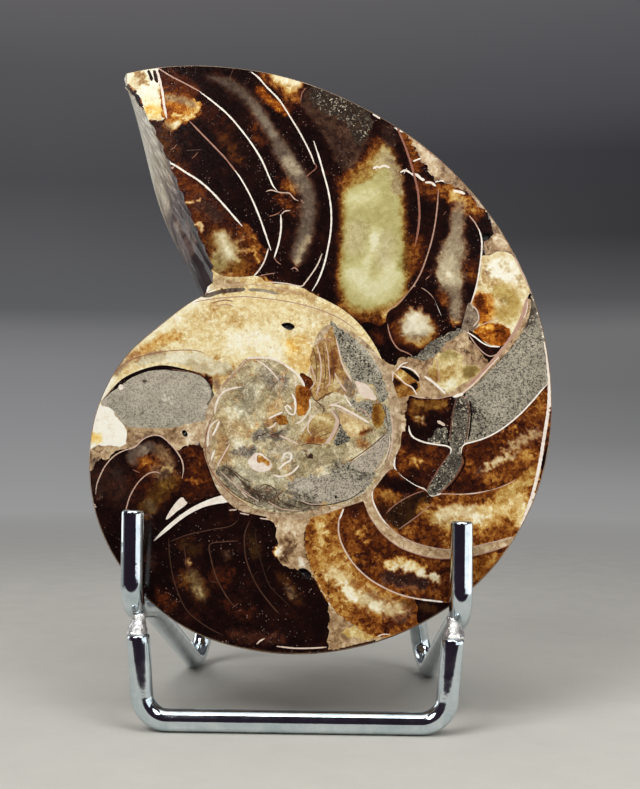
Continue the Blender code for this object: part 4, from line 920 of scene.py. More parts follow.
    face.tint([(-5, 58.6), (-1, 58), (2.4, 56.8)], 0.4, 0.6, glow=0.68, milk=0.3, ragged=1)
    face.area("sediment", [(-36.7, 36.8), (-35.3, 38.8), (-33, 40.7), (-30, 42.3), (-27, 43.1), (-23, 43),
        (-19, 42.3), (-17, 40.7), (-15.9, 38.4), (-16.2, 36.4), (-16.7, 34.5), (-18, 33.7), (-21, 33),
        (-24, 32.3), (-30, 32.3), (-32, 32.7), (-33.5, 34.4), (-35, 35.9)], wobble=0.12, glow=0.63,
        green=0.8, milk=0.42)
    face.tint([(-31, 41), (-26, 42), (-20, 41.4)], 0.5, 1.6, on=("sediment",), glow=0.68, green=0.6,
        ragged=1)
    face.tint([(-34, 36.6), (-29, 34), (-24, 33.8)], 0.6, 1.6, on=("sediment",), glow=0.56, green=1,
        milk=0.5, ragged=1)
    face.tint([(-25, 37.8), (-23.6, 37.7)], 0.15, 0.5, on=("sediment",), glow=0.9, ragged=1.4)
    for spot in ((-27.2, 38.7), (-29, 35), (-25.8, 37.2), (-28.8, 40.9)):
        face.tint([spot], 0.1, 0.22, on=("sediment",), glow=0.08)
    face.tint([(-16.6, 40.6), (-16, 38.6), (-16.6, 36.6)], 0.15, 0.35, on=("sediment",), glow=0.2)
    face.tint([(-17.4, 40), (-16.9, 38.2), (-17.4, 36)], 0.15, 0.3, on=("sediment",), glow=0.8, green=0.4)
    for points, width, glow, thin in (
        ([(-36.4, 37.4), (-35, 38.9), (-33.4, 40.5), (-31.5, 42)], 0.26, 0.3, (0.4, 1)),
        ([(-34, 43), (-31.4, 45), (-28, 46.1), (-24, 46.8), (-20, 46.9), (-17.6, 46.3)], 0.22, 0.5,
          (0.3, 0.3)),
        ([(-20.4, 56), (-17, 56.7), (-13, 57.1), (-10, 57.2), (-5, 56.7), (-1, 56), (3, 54.9), (7, 53.2),
          (10.4, 50.8)], 0.26, 0.66, (0.4, 0.4)),
        ([(-17, 55.9), (-14.6, 56.5), (-12.8, 56.3)], 0.3, 0.5, (0.3, 0.3)),
        ([(-16.6, 55.3), (-14.2, 55.7), (-12.6, 55.2)], 0.2, 0.6, (0.3, 0.3)),
        ([(-19.4, 56.8), (-16, 58.9), (-11, 59.6), (-5, 59), (0, 57.8)], 0.22, 0.74, (0.4, 0.4)),
    ):
        face.line(points, width, glow=glow, thin=thin)
    face.area("calcite", [(-18.9, 57.2), (-17.4, 57.9), (-15, 58.6), (-12.8, 58.9), (-10.8, 58.9),
        (-10.9, 58.3), (-13, 58), (-15.4, 57.7), (-17.4, 57)], glow=0.42, green=0.3, milk=0.9)
    face.tint([(-14.6, 58.3), (-12.4, 58.5)], 0.15, 0.3, glow=0.25, milk=0.5, ragged=1.4)
    face.line([(-10, 58.6), (-7, 58.4), (-4.4, 57.8)], 0.6, kind="calcite", glow=0.6, milk=0.9,
        thin=(0.5, 0.2))
    face.area("calcite", [(-35.2, 38.7), (-33.6, 40.5), (-31.7, 42), (-29, 43.1), (-27, 43.7), (-25, 44),
        (-24, 43.6), (-24.4, 43.2), (-27, 43.1), (-29, 42.6), (-31.4, 41.5), (-33.4, 39.9)], glow=0.03)
    face.line([(-24, 43.3), (-21, 42.9), (-18.6, 42.2)], 0.16, glow=0.4)
    face.area("shell", [(-33.6, 39.9), (-33.2, 40.4), (-32.7, 40.1), (-32.7, 39.5), (-33.3, 39.3)],
        glow=0.97)
    for points, width, glow in (
        ([(-36.9, 20), (-36.7, 22), (-35.6, 24.8), (-34, 26.9), (-32, 28.1), (-30.2, 28.7), (-28.6, 30.2),
          (-27, 30.9), (-25.5, 30.8), (-24, 29.7), (-22.6, 28.2), (-21.5, 26.5), (-21.1, 24.8),
          (-21.3, 23)], 0.3, 0.78),
        ([(-31.4, 16.8), (-30.6, 19.8), (-29.2, 22.3), (-27.6, 23.8), (-26.2, 24.2), (-25.2, 23.9)], 0.3,
          0.72),
        ([(-30.4, 24.6), (-29, 24)], 0.2, 0.5),
        ([(-27.2, 25.6), (-27, 24.4)], 0.12, 0.5),
        ([(-38.1, 24), (-37.6, 20), (-36.6, 15.8), (-34.8, 12)], 0.3, 0.5),
        ([(-37.4, 19.6), (-36.8, 17.4)], 0.24, 0.8),
    ):
        face.line(points, width, glow=glow)
    face.pit([(-21.6, 31.6), (-21.3, 32), (-20.8, 31.7), (-20.5, 31.1), (-20.8, 30.7), (-21.3, 30.9)], 1)
    face.pit([(-3.8, 51.9), (-3.1, 52.3), (-2, 52.2), (-1.3, 51.6), (-1.6, 51.1), (-2.4, 50.9),
        (-3.2, 51.3)], 0.8)


def paint_inner_whorls(face):
    """The broken-up inner whorls: pale calcite, grey sediment and many splinters of white shell."""
    ring = [(-16.2, 38), (-17.3, 35), (-17.7, 31), (-17.5, 28), (-16.5, 25), (-15, 21.5), (-13, 19),
        (-10.5, 17.3), (-7.5, 16.6), (-4, 16.1), (0, 15.9), (4, 16.7), (8, 18.1), (12.4, 19.7),
        (13.3, 21.2), (15.1, 23.6), (16.7, 26), (17.9, 29), (18.4, 33), (18.4, 36), (17.4, 39.6),
        (16, 43.4), (13, 47.6), (9.4, 50.6), (5, 52), (2.6, 49.4), (2, 45), (0.6, 41.6), (-1.6, 43.4),
        (-4, 45), (-7, 45.7), (-10, 45.5), (-13, 42.4)]
    face.area("matrix", ring, glow=0.62, green=0.2)
    bowl = [(-15.6, 37.4), (-16.1, 33), (-16.1, 29), (-15.5, 26), (-14, 22.5), (-12, 20.1), (-9, 18.1),
        (-5, 17.2), (0, 17), (5, 18.2), (9, 19), (11, 20.2), (13.2, 22.2), (14.7, 24.6), (15.9, 27),
        (16.4, 30), (16.6, 33), (16.4, 36), (15.8, 39), (14.8, 43), (12.4, 47), (9, 50), (5.6, 51),
        (3.4, 49), (2.6, 45), (1, 41.4), (-1.6, 43.2), (-4, 44.8), (-7, 45.5), (-10, 45.2), (-12.6, 42)]
    face.area("rubble", bowl, glow=0.66, green=0.3)
    face.tint([(-9.2, 39.6), (-10, 36.3)], 0.8, 2, glow=0.56, green=0.7, milk=0.3)
    face.tint([(-7.6, 40.2), (-7.6, 34)], 0.3, 0.9, glow=0.76, green=0.35)
    face.tint([(-4.8, 39.9)], 0.7, 1.6, glow=0.5, green=0.4, milk=0.1)
    face.tint([(-6.6, 38.7), (-7.1, 36.3)], 0.3, 0.8, glow=0.6, green=0.5)
    face.tint([(-4.2, 36.7), (-5.1, 35.8)], 0.5, 1.1, glow=0.72, green=0.4, honey=0.35)
    face.tint([(-5.9, 33.4), (-5, 34)], 0.3, 0.8, glow=0.5, honey=0.4)
    face.tint([(-10.8, 32.2), (-12, 32.4)], 0.8, 1.4, glow=0.68, green=0.4, honey=0.2)
    face.tint([(-14.4, 34.5), (-15.2, 31.5)], 0.5, 1.2, glow=0.6, green=0.4, honey=0.15)
    face.tint([(-12.3, 34.4), (-11.5, 35.3), (-13.2, 34.5)], 0.2, 0.5, glow=0.88, ragged=1.4)
    face.tint([(-13.5, 36.4), (-12.5, 36)], 0.2, 0.5, glow=0.78, ragged=1.4)
    face.tint([(-9.1, 33.9), (-8.5, 32.2)], 0.3, 0.9, glow=0.78, green=0.4, ragged=1.2)
    face.tint([(-6.7, 42.6), (-5.2, 41.1), (-3.4, 41.1)], 0.5, 1.2, glow=0.56, green=0.3, milk=0.6)
    face.tint([(-8.1, 42.6), (-7.2, 42.9)], 0.3, 0.6, glow=0.74, milk=0.3, ragged=1.2)
    face.tint([(-11.6, 30.4), (-9, 29.8), (-5.8, 30.4)], 0.4, 1, glow=0.72, green=0.3)
    face.tint([(-7.9, 31), (-7, 31.6), (-5, 30.9), (-3.2, 31.6)], 0.35, 0.8, glow=0.42, milk=0.8,
        ragged=1.4)
    face.tint([(-11.3, 27.9), (-9.8, 28.4), (-8.5, 28.3)], 0.35, 0.7, glow=0.4, milk=1, ragged=1.2)
    face.tint([(-11.8, 29.3), (-10.5, 29.5)], 0.3, 0.4, glow=0.92, ragged=1)
    face.tint([(-14, 30.4), (-14.2, 27.4), (-13.3, 26.3)], 0.5, 1, glow=0.58, green=0.3, honey=0.3,
        ragged=1.2)
    face.tint([(-2.3, 28.4), (-4.6, 27.8), (-1.1, 27)], 0.6, 1.2, glow=0.66, green=0.3, milk=0.3)
    face.tint([(0.7, 25), (2.7, 26.4), (5.8, 27.3)], 1, 1.4, glow=0.58, green=0.6, milk=0.1)
    face.tint([(3.6, 24.7), (4.7, 24.7)], 0.5, 0.5, glow=0.92, milk=0.2, ragged=1.2)
    face.tint([(1.8, 27.9), (6.1, 28.5), (9, 29.7), (12.8, 31.2), (14.8, 32.7)], 0.8, 0.9, glow=0.6,
        green=0.6)
    face.tint([(9, 29.4), (10, 28.6)], 0.5, 0.6, glow=0.86, green=0.2, ragged=1.2)
    face.tint([(11, 29.9), (11.8, 29.7)], 0.5, 0.6, glow=0.52, green=0.4, honey=0.5)
    face.area("rubble", [(-15.3, 25.1), (-13, 25.5), (-9.7, 23.4), (-8, 22.2), (-4.5, 21.7), (-1.3, 20),
        (1.9, 18.9), (4.2, 18.3), (1.9, 17.3), (-2.1, 17.3), (-6.7, 17.9), (-9.9, 19.3), (-12.9, 21.6),
        (-14.7, 23.6)], wobble=0.4, glow=0.5, green=0.6, milk=0.5)
    face.tint([(-13.2, 24.5), (-9.7, 21.7), (-6.2, 19.7), (-2.1, 18.3), (1.3, 18)], 0.3, 0.9, glow=0.3,
        green=0.7, milk=0.4, ragged=1.5)
    face.tint([(-10.6, 24.8), (-6.8, 23.1), (-3.9, 22.9)], 0.5, 0.9, glow=0.66, green=0.8, milk=0.3,
        ragged=1)
    face.tint([(-11.7, 22.8), (-8.8, 22.2)], 0.2, 0.5, glow=0.74, milk=0.5, ragged=1.5)
    face.area("sediment", [(-1.9, 22.3), (0.1, 23.2), (2.4, 24), (4.7, 23.8), (6.1, 25), (7.6, 25.9),
        (9.3, 26.2), (10.8, 24.8), (13.4, 24.4), (13.5, 23.6), (12.2, 21.3), (9.4, 19.5), (6.5, 18.9),
        (1.9, 19.2), (-1, 19.7)], wobble=0.5, glow=0.66, green=0.55, milk=0.6)
    face.tint([(6.2, 24.7), (8.5, 25.3), (10.5, 24.6), (12.2, 23.9)], 0.4, 0.8, on=("sediment", *CRYSTAL),
        glow=0.38, green=1, milk=1, ragged=1.4)
    face.tint([(-2.2, 20.9), (0.7, 19.7), (3.1, 18.9)], 0.2, 0.7, on=("sediment", *CRYSTAL), glow=0.34,
        green=0.8, milk=0.8, ragged=1.5)
    face.tint([(0.1, 22), (1.9, 21.8)], 0.3, 0.8, on=("sediment",), glow=0.74, milk=0.3, ragged=1.2)
    face.area("sediment", [(15.7, 31.8), (16, 30.1), (15.1, 27.4), (13.4, 24.8), (11.6, 24.5), (9.6, 25.6),
        (9.4, 26.3), (12.2, 28.4), (14.2, 30.5)], wobble=0.15, glow=0.72, green=0.3, milk=0.6)
    face.tint([(14.5, 27.7), (14.8, 28.9)], 0.5, 1.2, on=("sediment",), glow=0.74, green=0.1, milk=0.5)
    face.area("sediment", [(15.5, 37.2), (16.4, 35.4), (16.7, 32.4), (16.5, 30.1), (16, 27.7), (15.6, 28),
        (16, 30.1), (15.9, 32.1), (15.2, 34.2), (15.1, 36.6)], wobble=0.2, glow=0.5, green=1, milk=0.7)
    face.area("sediment", [(5.4, 52.7), (6.7, 51.5), (9.1, 50), (11.5, 47.9), (13.3, 45.5), (14.7, 43.1),
        (15.6, 40.4), (15.9, 38.3), (14.5, 37.4), (13.6, 40.1), (12.1, 41), (9.9, 41.4), (8.9, 43),
        (7.4, 46), (6.2, 49.9)], wobble=0.3, glow=0.5, green=1, milk=0.85)
    face.tint([(7.4, 49.3), (9.7, 47.3), (12.1, 44.3)], 0.8, 1.4, on=("sediment",), glow=0.44, green=1,
        milk=1)
    face.tint([(10.3, 48.8), (13, 45.8), (14.2, 43.1)], 0.2, 0.5, on=("sediment",), glow=0.72, green=0.6,
        milk=0.5)
    face.area("calcite", [(2.1, 47.8), (3.2, 48.4), (4.4, 49.3), (5.4, 51.5), (6.3, 49.3), (7.1, 46.6),
        (8, 43.3), (9.3, 41.3), (9.9, 39.2), (9.2, 38.3), (7.5, 38.9), (6, 39.1), (4.3, 38.2), (2.8, 37.6),
        (1.6, 39.1), (2, 40.9), (1.7, 43.6), (1.7, 46.3)], wobble=0.2, glow=0.56, green=0.2, milk=0.2)
    face.tint([(5.8, 46.6), (6.1, 44.8), (5.9, 43.3)], 0.4, 0.5, glow=0.36, green=0.4, honey=0.3)
    face.tint([(6.6, 41.2), (7.4, 39.7)], 0.4, 0.6, glow=0.7, milk=0.3)
    face.tint([(2.5, 46.3), (3, 41.8)], 0.2, 0.5, glow=0.62, green=0.4)
    face.tint([(8.3, 40.1), (9.2, 39.2), (8.6, 41)], 0.4, 0.7, glow=0.5, milk=0.8, ragged=1.2)
    face.area("calcite", [(0.1, 42.8), (2, 41.6), (2.1, 40.2), (1.6, 39.4), (0.7, 40.3), (-0.2, 41.8)],
        wobble=0.1, glow=0.2, honey=0.3)
    face.area("calcite", [(-0.9, 40.3), (0.7, 40.2), (1.8, 39.1), (1.6, 37.3), (1.1, 35.5), (0.1, 34.8),
        (-0.7, 35.2), (-0.9, 37)], wobble=0.15, glow=0.48, green=0.2, honey=0.3)
    face.tint([(0.4, 39.7), (1.3, 39.1)], 0.3, 0.6, glow=0.34, honey=0.5)
    face.tint([(-0.1, 36.4), (0.3, 35.5)], 0.2, 0.5, glow=0.62, honey=0.8)
    face.area("calcite", [(-4.5, 34.8), (-2.8, 34.8), (-2.2, 33.4), (-3.8, 33.1), (-4.5, 34)], wobble=0.15,
        glow=0.48, green=0.3, honey=0.2)
    face.area("calcite", [(0.3, 31.1), (1.7, 34.1), (3.4, 35.3), (5.5, 35.3), (6.3, 33.8), (5.8, 31.7),
        (4.6, 30), (1.7, 29.8), (0.4, 30.1)], wobble=0.2, glow=0.62, green=0.4, milk=0.2)
    face.tint([(2.8, 35), (4.6, 34.1)], 0.4, 0.7, glow=0.76, green=0.2)
    face.tint([(1.4, 30.4), (4.1, 30.3)], 0.2, 0.5, glow=0.46, honey=0.5)
    face.area("sediment", [(7.2, 33.7), (8.4, 32.4), (9.3, 30.7), (7.7, 29.7), (6.6, 29.3), (6.1, 30.1),
        (6.9, 32)], wobble=0.3, glow=0.34, green=1, milk=1)
    face.area("sediment", [(9.1, 38.3), (10.4, 37.4), (12.1, 37.9), (13.2, 36.8), (12.9, 34.2), (11, 35.6),
        (9.2, 36.6)], wobble=0.4, glow=0.5, green=1, milk=0.9)
    face.area("calcite", [(7.3, 35.3), (9.2, 35.2), (12.2, 33.4), (12.7, 32.7), (11.6, 31.5), (9.4, 30.8),
        (8.1, 32.2), (7.2, 34.1)], wobble=0.2, glow=0.72, milk=0.3)
    face.tint([(9, 33), (10.4, 32.4)], 0.3, 0.8, glow=0.84, milk=0.2)
    face.tint([(11.3, 31.6), (12.9, 32.4)], 0.25, 0.4, glow=0.3, honey=0.4)
    face.area("calcite", [(13.2, 37), (14.8, 36.9), (15.4, 35.4), (15.2, 33.6), (13.9, 32.7), (13, 34.2),
        (13.1, 35.6)], wobble=0.2, glow=0.5, green=0.75, honey=0.2)
    face.tint([(13.6, 36.2), (14, 34.2)], 0.2, 0.5, glow=0.36, green=0.6)
    face.area("calcite", [(0, 28.7), (1.5, 28.4), (2.4, 27.3), (1.9, 26.8), (0.6, 27.8)], wobble=0.2,
        glow=0.22, milk=0.6)
    face.tint([(0.5, 28.6), (1.5, 27.9)], 0.1, 0.25, glow=0.8, milk=0.8, ragged=1.5)
    face.tint([(-1.3, 29.5), (-0.7, 28.9)], 0.3, 0.4, glow=0.62, honey=0.1, ragged=1.2)
    face.area("shell", [(9.9, 41.3), (11.5, 41), (12.9, 40), (13.7, 38.6), (13.7, 37.9), (12.1, 38.2),
        (11, 38.9)], wobble=0.12, glow=0.92)
    face.area("shell", [(-8.9, 27.2), (-7.9, 27.9), (-6.9, 27.8), (-5.3, 26.2), (-5.1, 25.2), (-6.3, 24.4),
        (-8, 24.6), (-9, 25.3), (-9.4, 26.3)], wobble=0.12, glow=0.96)
    face.area("calcite", [(-7.7, 27.3), (-7.1, 27.4), (-5.4, 26.2), (-5.7, 25.5), (-6.7, 26.1),
        (-7.7, 26.1)], wobble=0.1, glow=0.56, honey=0.2)
    # splinters of white shell
    for points, width, glow in (
        ([(-10.1, 45.4), (-8.8, 45.6), (-6.7, 45.6), (-4.9, 45.3), (-3.2, 44.4)], 0.5, 0.96),
        ([(-3.2, 44.4), (-1.4, 43.2), (-0.2, 41.9), (0.7, 40.3)], 0.6, 0.98),
        ([(-8.2, 45.2), (-6.7, 44.2), (-5.3, 42.9), (-4.1, 41.4)], 0.4, 0.94),
        ([(-1.4, 42.6), (-1, 41.5), (-1, 40.2)], 0.4, 0.94),
        ([(-10.9, 40.1), (-12.6, 39.8), (-14.1, 39.2), (-14.9, 38.2), (-15.5, 36.7), (-15.7, 35.1)], 0.5,
          0.95),
        ([(-15.2, 33.9), (-16.2, 33), (-16.7, 31.8), (-16.8, 30.3), (-16.8, 28.9)], 0.4, 0.95),
        ([(-14.8, 33.7), (-15.3, 32.4), (-16, 30.9)], 0.5, 0.98),
        ([(-15.5, 28.3), (-15.9, 27.3), (-16.1, 26.4)], 0.42, 0.97),
        ([(-12.8, 29.5), (-13.6, 28), (-14.4, 26.5), (-15, 25.2)], 0.3, 0.9),
        ([(-1.6, 38.9), (-1.1, 37.9), (-0.9, 36.4), (-1.1, 35)], 0.5, 0.98),
        ([(-1.1, 35), (-2, 35.2), (-2.8, 36.4), (-2.4, 36.8), (-1.6, 35.9)], 0.42, 0.98),
        ([(-5.9, 34.2), (-4.5, 34.9), (-3.2, 35.5)], 0.46, 0.97),
        ([(-5.9, 32.5), (-5, 32.8), (-4.4, 33.6)], 0.4, 0.92),
        ([(-0.9, 33.3), (0.2, 33.9), (1.2, 35.1), (1.8, 36.4), (1.6, 37.9)], 0.4, 0.95),
        ([(0, 31.8), (0.8, 32.6), (1.5, 33.8), (2, 35.2)], 0.36, 0.9),
        ([(5.3, 36.8), (6.6, 36.8), (8.4, 36), (10.4, 34.9), (12.6, 33.6)], 0.55, 0.95),
        ([(6.6, 36.3), (8.7, 35.3), (10.4, 34.3)], 0.3, 0.8),
        ([(10.4, 36.5), (11.9, 35.6), (13, 34.2)], 0.3, 0.72),
        ([(8, 38.9), (8.6, 37.8), (9.4, 36.6)], 0.36, 0.96),
        ([(5.4, 37), (6.6, 37.2), (7.5, 37.7)], 0.3, 0.9),
        ([(2.7, 35.1), (1.7, 33.8), (1.4, 32.3), (2, 31.3)], 0.3, 0.92),
        ([(-3.8, 31.1), (-2.3, 30.5), (-0.4, 29.6)], 0.4, 0.86),
        ([(-4.6, 30), (-3.5, 28.9)], 0.3, 0.84),
        ([(-3.1, 26.8), (-2.7, 27.8), (-1.6, 27.8), (-1.7, 26.6), (-2.7, 26), (-3.8, 24.9)], 0.5, 0.98),
        ([(-2.7, 27.3), (-2, 27)], 0.6, 0.98),
        ([(-4.8, 23.9), (-3.4, 23.6), (-1.6, 24.2), (-0.5, 25.2), (-0.1, 25.8)], 0.48, 0.97),
        ([(0.2, 19.4), (1.9, 18.7), (4.2, 18.7)], 0.2, 0.8),
        ([(5.6, 18.1), (6.8, 18.2)], 0.3, 0.9),
        ([(-15.2, 21.9), (-14.5, 21.5)], 0.5, 0.95),
        ([(-10.5, 20.8), (-9.3, 19.6)], 0.24, 0.9),
        ([(13.6, 31.2), (13.3, 32.4)], 0.3, 0.8),
    ):
        face.line(points, width, glow=glow)
    # tan and dark layers between them
    for points, width, glow in (
        ([(2.8, 48.1), (3.4, 46), (3.7, 43.6), (3.5, 41.2), (2.9, 39.1)], 0.32, 0.84),
        ([(1.8, 44.2), (2.3, 42.7), (2.6, 41.2), (1.6, 39.6)], 0.3, 0.8),
        ([(4.4, 48.7), (4.9, 46.3), (5.1, 43.9), (5.3, 41.2), (4.5, 40)], 0.26, 0.8),
        ([(6.4, 49.3), (6.9, 47.2), (7.5, 44.8), (8.6, 42.7), (9.4, 41.2)], 0.36, 0.88),
        ([(6.2, 42.9), (7, 41.2), (8.4, 39.4)], 0.4, 0.84),
        ([(3.1, 48.6), (4.4, 49.3), (5.9, 48.7)], 0.26, 0.66),
        ([(2.1, 47.8), (2.7, 45.4), (2.9, 43), (2.8, 41.2)], 0.2, 0.34),
        ([(4, 48.1), (4.3, 45.4), (4.5, 42.7), (4.2, 40.3)], 0.2, 0.3),
        ([(5.5, 47.8), (5.9, 44.2), (6, 41.2)], 0.18, 0.3),
        ([(3.6, 40.3), (2.9, 38.8), (3.4, 38.2)], 0.26, 0.74),
        ([(1.7, 40), (2.1, 38.5), (2.9, 37.6), (4.2, 38.5), (6, 39.4)], 0.3, 0.3),
        ([(2.7, 37.6), (4.3, 36.4), (4, 35.2)], 0.32, 0.4),
        ([(3.4, 37), (4.6, 35.6)], 0.2, 0.2),
        ([(2.2, 36.9), (3.4, 35.6)], 0.3, 0.8),
        ([(1.7, 30.5), (3.5, 31.9), (5.2, 32.6)], 0.16, 0.4),
        ([(1.7, 30.2), (3.8, 31.1), (5.8, 31.9)], 0.16, 0.34),
        ([(1.4, 31.1), (2.6, 32.3), (3.7, 32.9)], 0.16, 0.4),
        ([(2.3, 30.1), (4.1, 30.4), (5.5, 31)], 0.16, 0.42),
        ([(5.6, 36.2), (6.4, 35), (6.8, 33.8), (6.4, 32.3), (5.4, 30.6), (4.7, 29.7)], 0.9, 0.8),
        ([(5.9, 36), (6.8, 34.8), (7.2, 33.8), (6.8, 32.2), (5.9, 30.4)], 0.16, 0.36),
        ([(0, 29.3), (1.7, 29.7), (4.1, 29.4)], 0.2, 0.3),
        ([(15.7, 31.8), (13.3, 29.6), (10.8, 27.7), (8.9, 26.4)], 0.26, 0.3),
        ([(16.2, 31.3), (16.3, 29.5), (15.3, 26.6), (13.9, 24.8)], 0.3, 0.86),
        ([(16.5, 35.4), (16.9, 32.4), (16.7, 29.5), (16, 26.6)], 0.3, 0.8),
        ([(15.5, 37), (15.6, 35.4), (16.1, 32.7)], 0.2, 0.3),
        ([(13, 37), (14.8, 37.1), (15.6, 35.1)], 0.2, 0.3),
        ([(-9.7, 45.3), (-12.2, 42.5), (-14.5, 40.1)], 0.26, 0.6),
        ([(-15.8, 35.1), (-16.9, 32.4), (-17.3, 29.2), (-16.8, 26.2), (-15.2, 23.3), (-12.5, 20.5),
          (-8.7, 17.9)], 0.24, 0.46),
        ([(-8.2, 30.9), (-7, 31.2), (-5.8, 31.8)], 0.2, 0.16),
        ([(-5.5, 31.2), (-4.1, 31.5), (-3.2, 32.2)], 0.22, 0.18),
        ([(-7.9, 30.4), (-7.6, 31.2)], 0.2, 0.16),
        ([(-14.1, 25.5), (-12.7, 24.8), (-10.9, 23.1), (-8.8, 21.1), (-6.2, 19.4), (-3.3, 18.3)], 0.26,
          0.24),
        ([(-14.4, 24.5), (-12.6, 22.8), (-10.2, 20.8), (-7.3, 19.1)], 0.22, 0.8),
        ([(-14.9, 23.3), (-13.2, 21.6), (-10.5, 19.6), (-6.7, 17.9)], 0.22, 0.22),
        ([(-13.7, 25.2), (-11.8, 24.4), (-10, 23.1), (-8.6, 22.5)], 0.2, 0.16),
        ([(-12.6, 23.8), (-11.1, 21.9), (-8.8, 20.2)], 0.18, 0.7),
        ([(-11.5, 23.8), (-9.7, 21.9), (-6.8, 20.5)], 0.2, 0.2),
        ([(-7.4, 21.4), (-6.5, 22.1), (-5.1, 21.8), (-4.1, 20.8), (-4.7, 19.5), (-6.2, 19.4)], 0.24, 0.26),
        ([(-6.4, 21.1), (-5.6, 21.3), (-5.2, 20.7)], 0.2, 0.5),
        ([(-2.7, 21.1), (-3.9, 20), (-2.7, 18.8), (0.2, 17.9)], 0.22, 0.2),
        ([(-5.6, 19.1), (-3.3, 17.8), (0.2, 17.4)], 0.24, 0.74),
        ([(-1, 19.4), (1.9, 18.5), (5.4, 18.6), (9.4, 19.8), (12.2, 21.9)], 0.24, 0.16),
        ([(-2.2, 21.7), (-1, 22.3), (1.3, 23.5)], 0.14, 0.3),
        ([(1.6, 20.6), (4.2, 22.1), (5.3, 23.6)], 0.14, 0.3),
        ([(-1, 20.9), (0.2, 20.2), (1.9, 20)], 0.16, 0.24),
        ([(-8.9, 25.4), (-8.6, 25.3)], 0.2, 0.4),
        ([(-7.5, 25.4), (-7.2, 25.5)], 0.2, 0.4),
    ):
        face.line(points, width, glow=glow)
    face.area("sediment", [(6.4, 20.3), (6.8, 20.3), (6.9, 19.8), (6.5, 19.7)], glow=0.05, green=1)


def paint_edge(face):
    """The white shell along the right-hand edge, and thinner, duller shell lines along the edge at the top
    and the upper right.
    """
    for points, width, glow in (
        ([(42.4, 58.8), (43.6, 55.6), (44.5, 52), (45.1, 48), (45.45, 43.5), (45.5, 40), (45.25, 36.4),
          (44.5, 32), (43.4, 26), (41.9, 20.2), (39.5, 14)], 0.8, 0.98),
        ([(42.2, 58.9), (41.6, 60.6), (39.4, 65.4)], 0.3, 0.8),
        ([(-26, 103.3), (-22, 103.5), (-18, 103.3)], 0.3, 0.72),
        ([(18, 90.6), (22, 87.4), (27, 83)], 0.3, 0.6),
    ):
        face.line(points, width, glow=glow)


def cut_face():
    """Everything on the cut face, from the ground colour up."""
    face = Face()
    for paint_part in (
        paint_upper_chambers, paint_tip, paint_green_chamber, paint_right_chambers, paint_crossing,
        paint_siphuncle, paint_lower_right, paint_bottom, paint_left, paint_inner_whorls, paint_edge,
    ):
        paint_part(face)
    return face


# ---- the fossil's form ----


def venter_radius(angle):
    """Radius of the outline round the spiral centre, smoothly through the listed radii."""
    place = (angle - FIRST_ANGLE) / VENTER_STEP
    i = min(max(int(place), 0), len(VENTER) - 2)
    t = place - i
    before, here, onward = VENTER[max(i - 1, 0)], VENTER[i], VENTER[i + 1]
    beyond = VENTER[min(i + 2, len(VENTER) - 1)]
    return (
        here * (2 * t**3 - 3 * t**2 + 1)
        + onward * (3 * t**2 - 2 * t**3)
        + (onward - before) / 2 * (t**3 - 2 * t**2 + t)
        + (beyond - here) / 2 * (t**3 - t**2)
    )


def half_thickness(share, radius):
    """Depth of the back behind the cut face, at a share of the radius."""
    full = SWELL * radius
    if share >= FLANK:
        outward = (share - FLANK) / (1 - FLANK)
        return full * math.sqrt(max(0.0, 1 - outward**FLANK_POWER))
    return UMBILICUS_DEPTH + (full - UMBILICUS_DEPTH) * math.sin(math.pi / 2 * share / FLANK)


def back_point(angle, share, overhang=0.0):
    """A point (u, v, w) of the smooth back."""
    radius = venter_radius(angle)
    turn = math.radians(angle)
    outward = np.array((math.cos(turn), math.sin(turn)))
    forward = np.array((-outward[1], outward[0]))
    shift = overhang * math.exp(-(((share - END_OVERHANG_AT) / END_OVERHANG_SPREAD) ** 2))
    u, v = SPIRAL_CENTRE + outward * radius * share + forward * shift
    return np.array((u, v, half_thickness(share, radius)))


def ripple(x, y, z):
    """A rough, repeatable unevenness between about -1 and 1."""
    return (
        math.sin(0.9 * x + 1.3 * math.sin(0.7 * y + 1)) * math.cos(0.8 * z + 0.9 * y)
        + 0.5 * math.sin(2.3 * y - 1.7 * x + 2 * math.sin(0.9 * z))
        + 0.3 * math.sin(4.9 * z + 3.1 * x + 1.5 * math.sin(2.2 * y))
    ) / 1.6


def worn_back_point(angle, share, overhang=0.0):
    """A point of the back with its ribs and wear, always a little inside the smooth back."""
    u, v, w = back_point(angle, share, overhang)
    swept = angle + RIB_SWEEP * (1 - share) ** 2  # the ribs bend back over the flank
    rib = 0.5 + 0.5 * math.cos(2 * math.pi * swept / RIB_ANGLE)
    wear = 0.5 + 0.5 * ripple(u / 6, v / 6, w / 6)
    fade = min(1.0, w / 3) * min(1.0, share / 0.3)
    depth = fade * (RIB_HEIGHT * (1 - rib) * (1 - 0.75 * wear) + WEAR_DEPTH * wear)
    inward = np.array((*SPIRAL_CENTRE, 0.0)) - (u, v, w)
    return np.array((u, v, w)) + inward / np.linalg.norm(inward) * depth


def face_axes():
    """The face's origin and its u, v and w directions in the world, from the CAD node's box."""
    low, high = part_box("nautiloid_half")
    v_axis = Vector((0, math.sin(LEAN), math.cos(LEAN)))
    w_axis = Vector((0, math.cos(LEAN), -math.sin(LEAN)))
    vertices = [vertex.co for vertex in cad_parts["nautiloid_half"].data.vertices]
    front = min(point.dot(w_axis) for point in vertices)
    origin = Vector((low.x + FACE_REACH_LEFT * MM, FACE_FRONT, 0))
    origin.z = (front - origin.y * w_axis.y) / w_axis.z
    return origin, Vector((1, 0, 0)), v_axis, w_axis


def to_world(points):
    """From u, v and w in mm to the world."""
    origin, u_axis, v_axis, w_axis = (np.array(item) for item in face_axes())
    points = np.array(points, float) * MM
    return origin + points[:, :1] * u_axis + points[:, 1:2] * v_axis + points[:, 2:] * w_axis


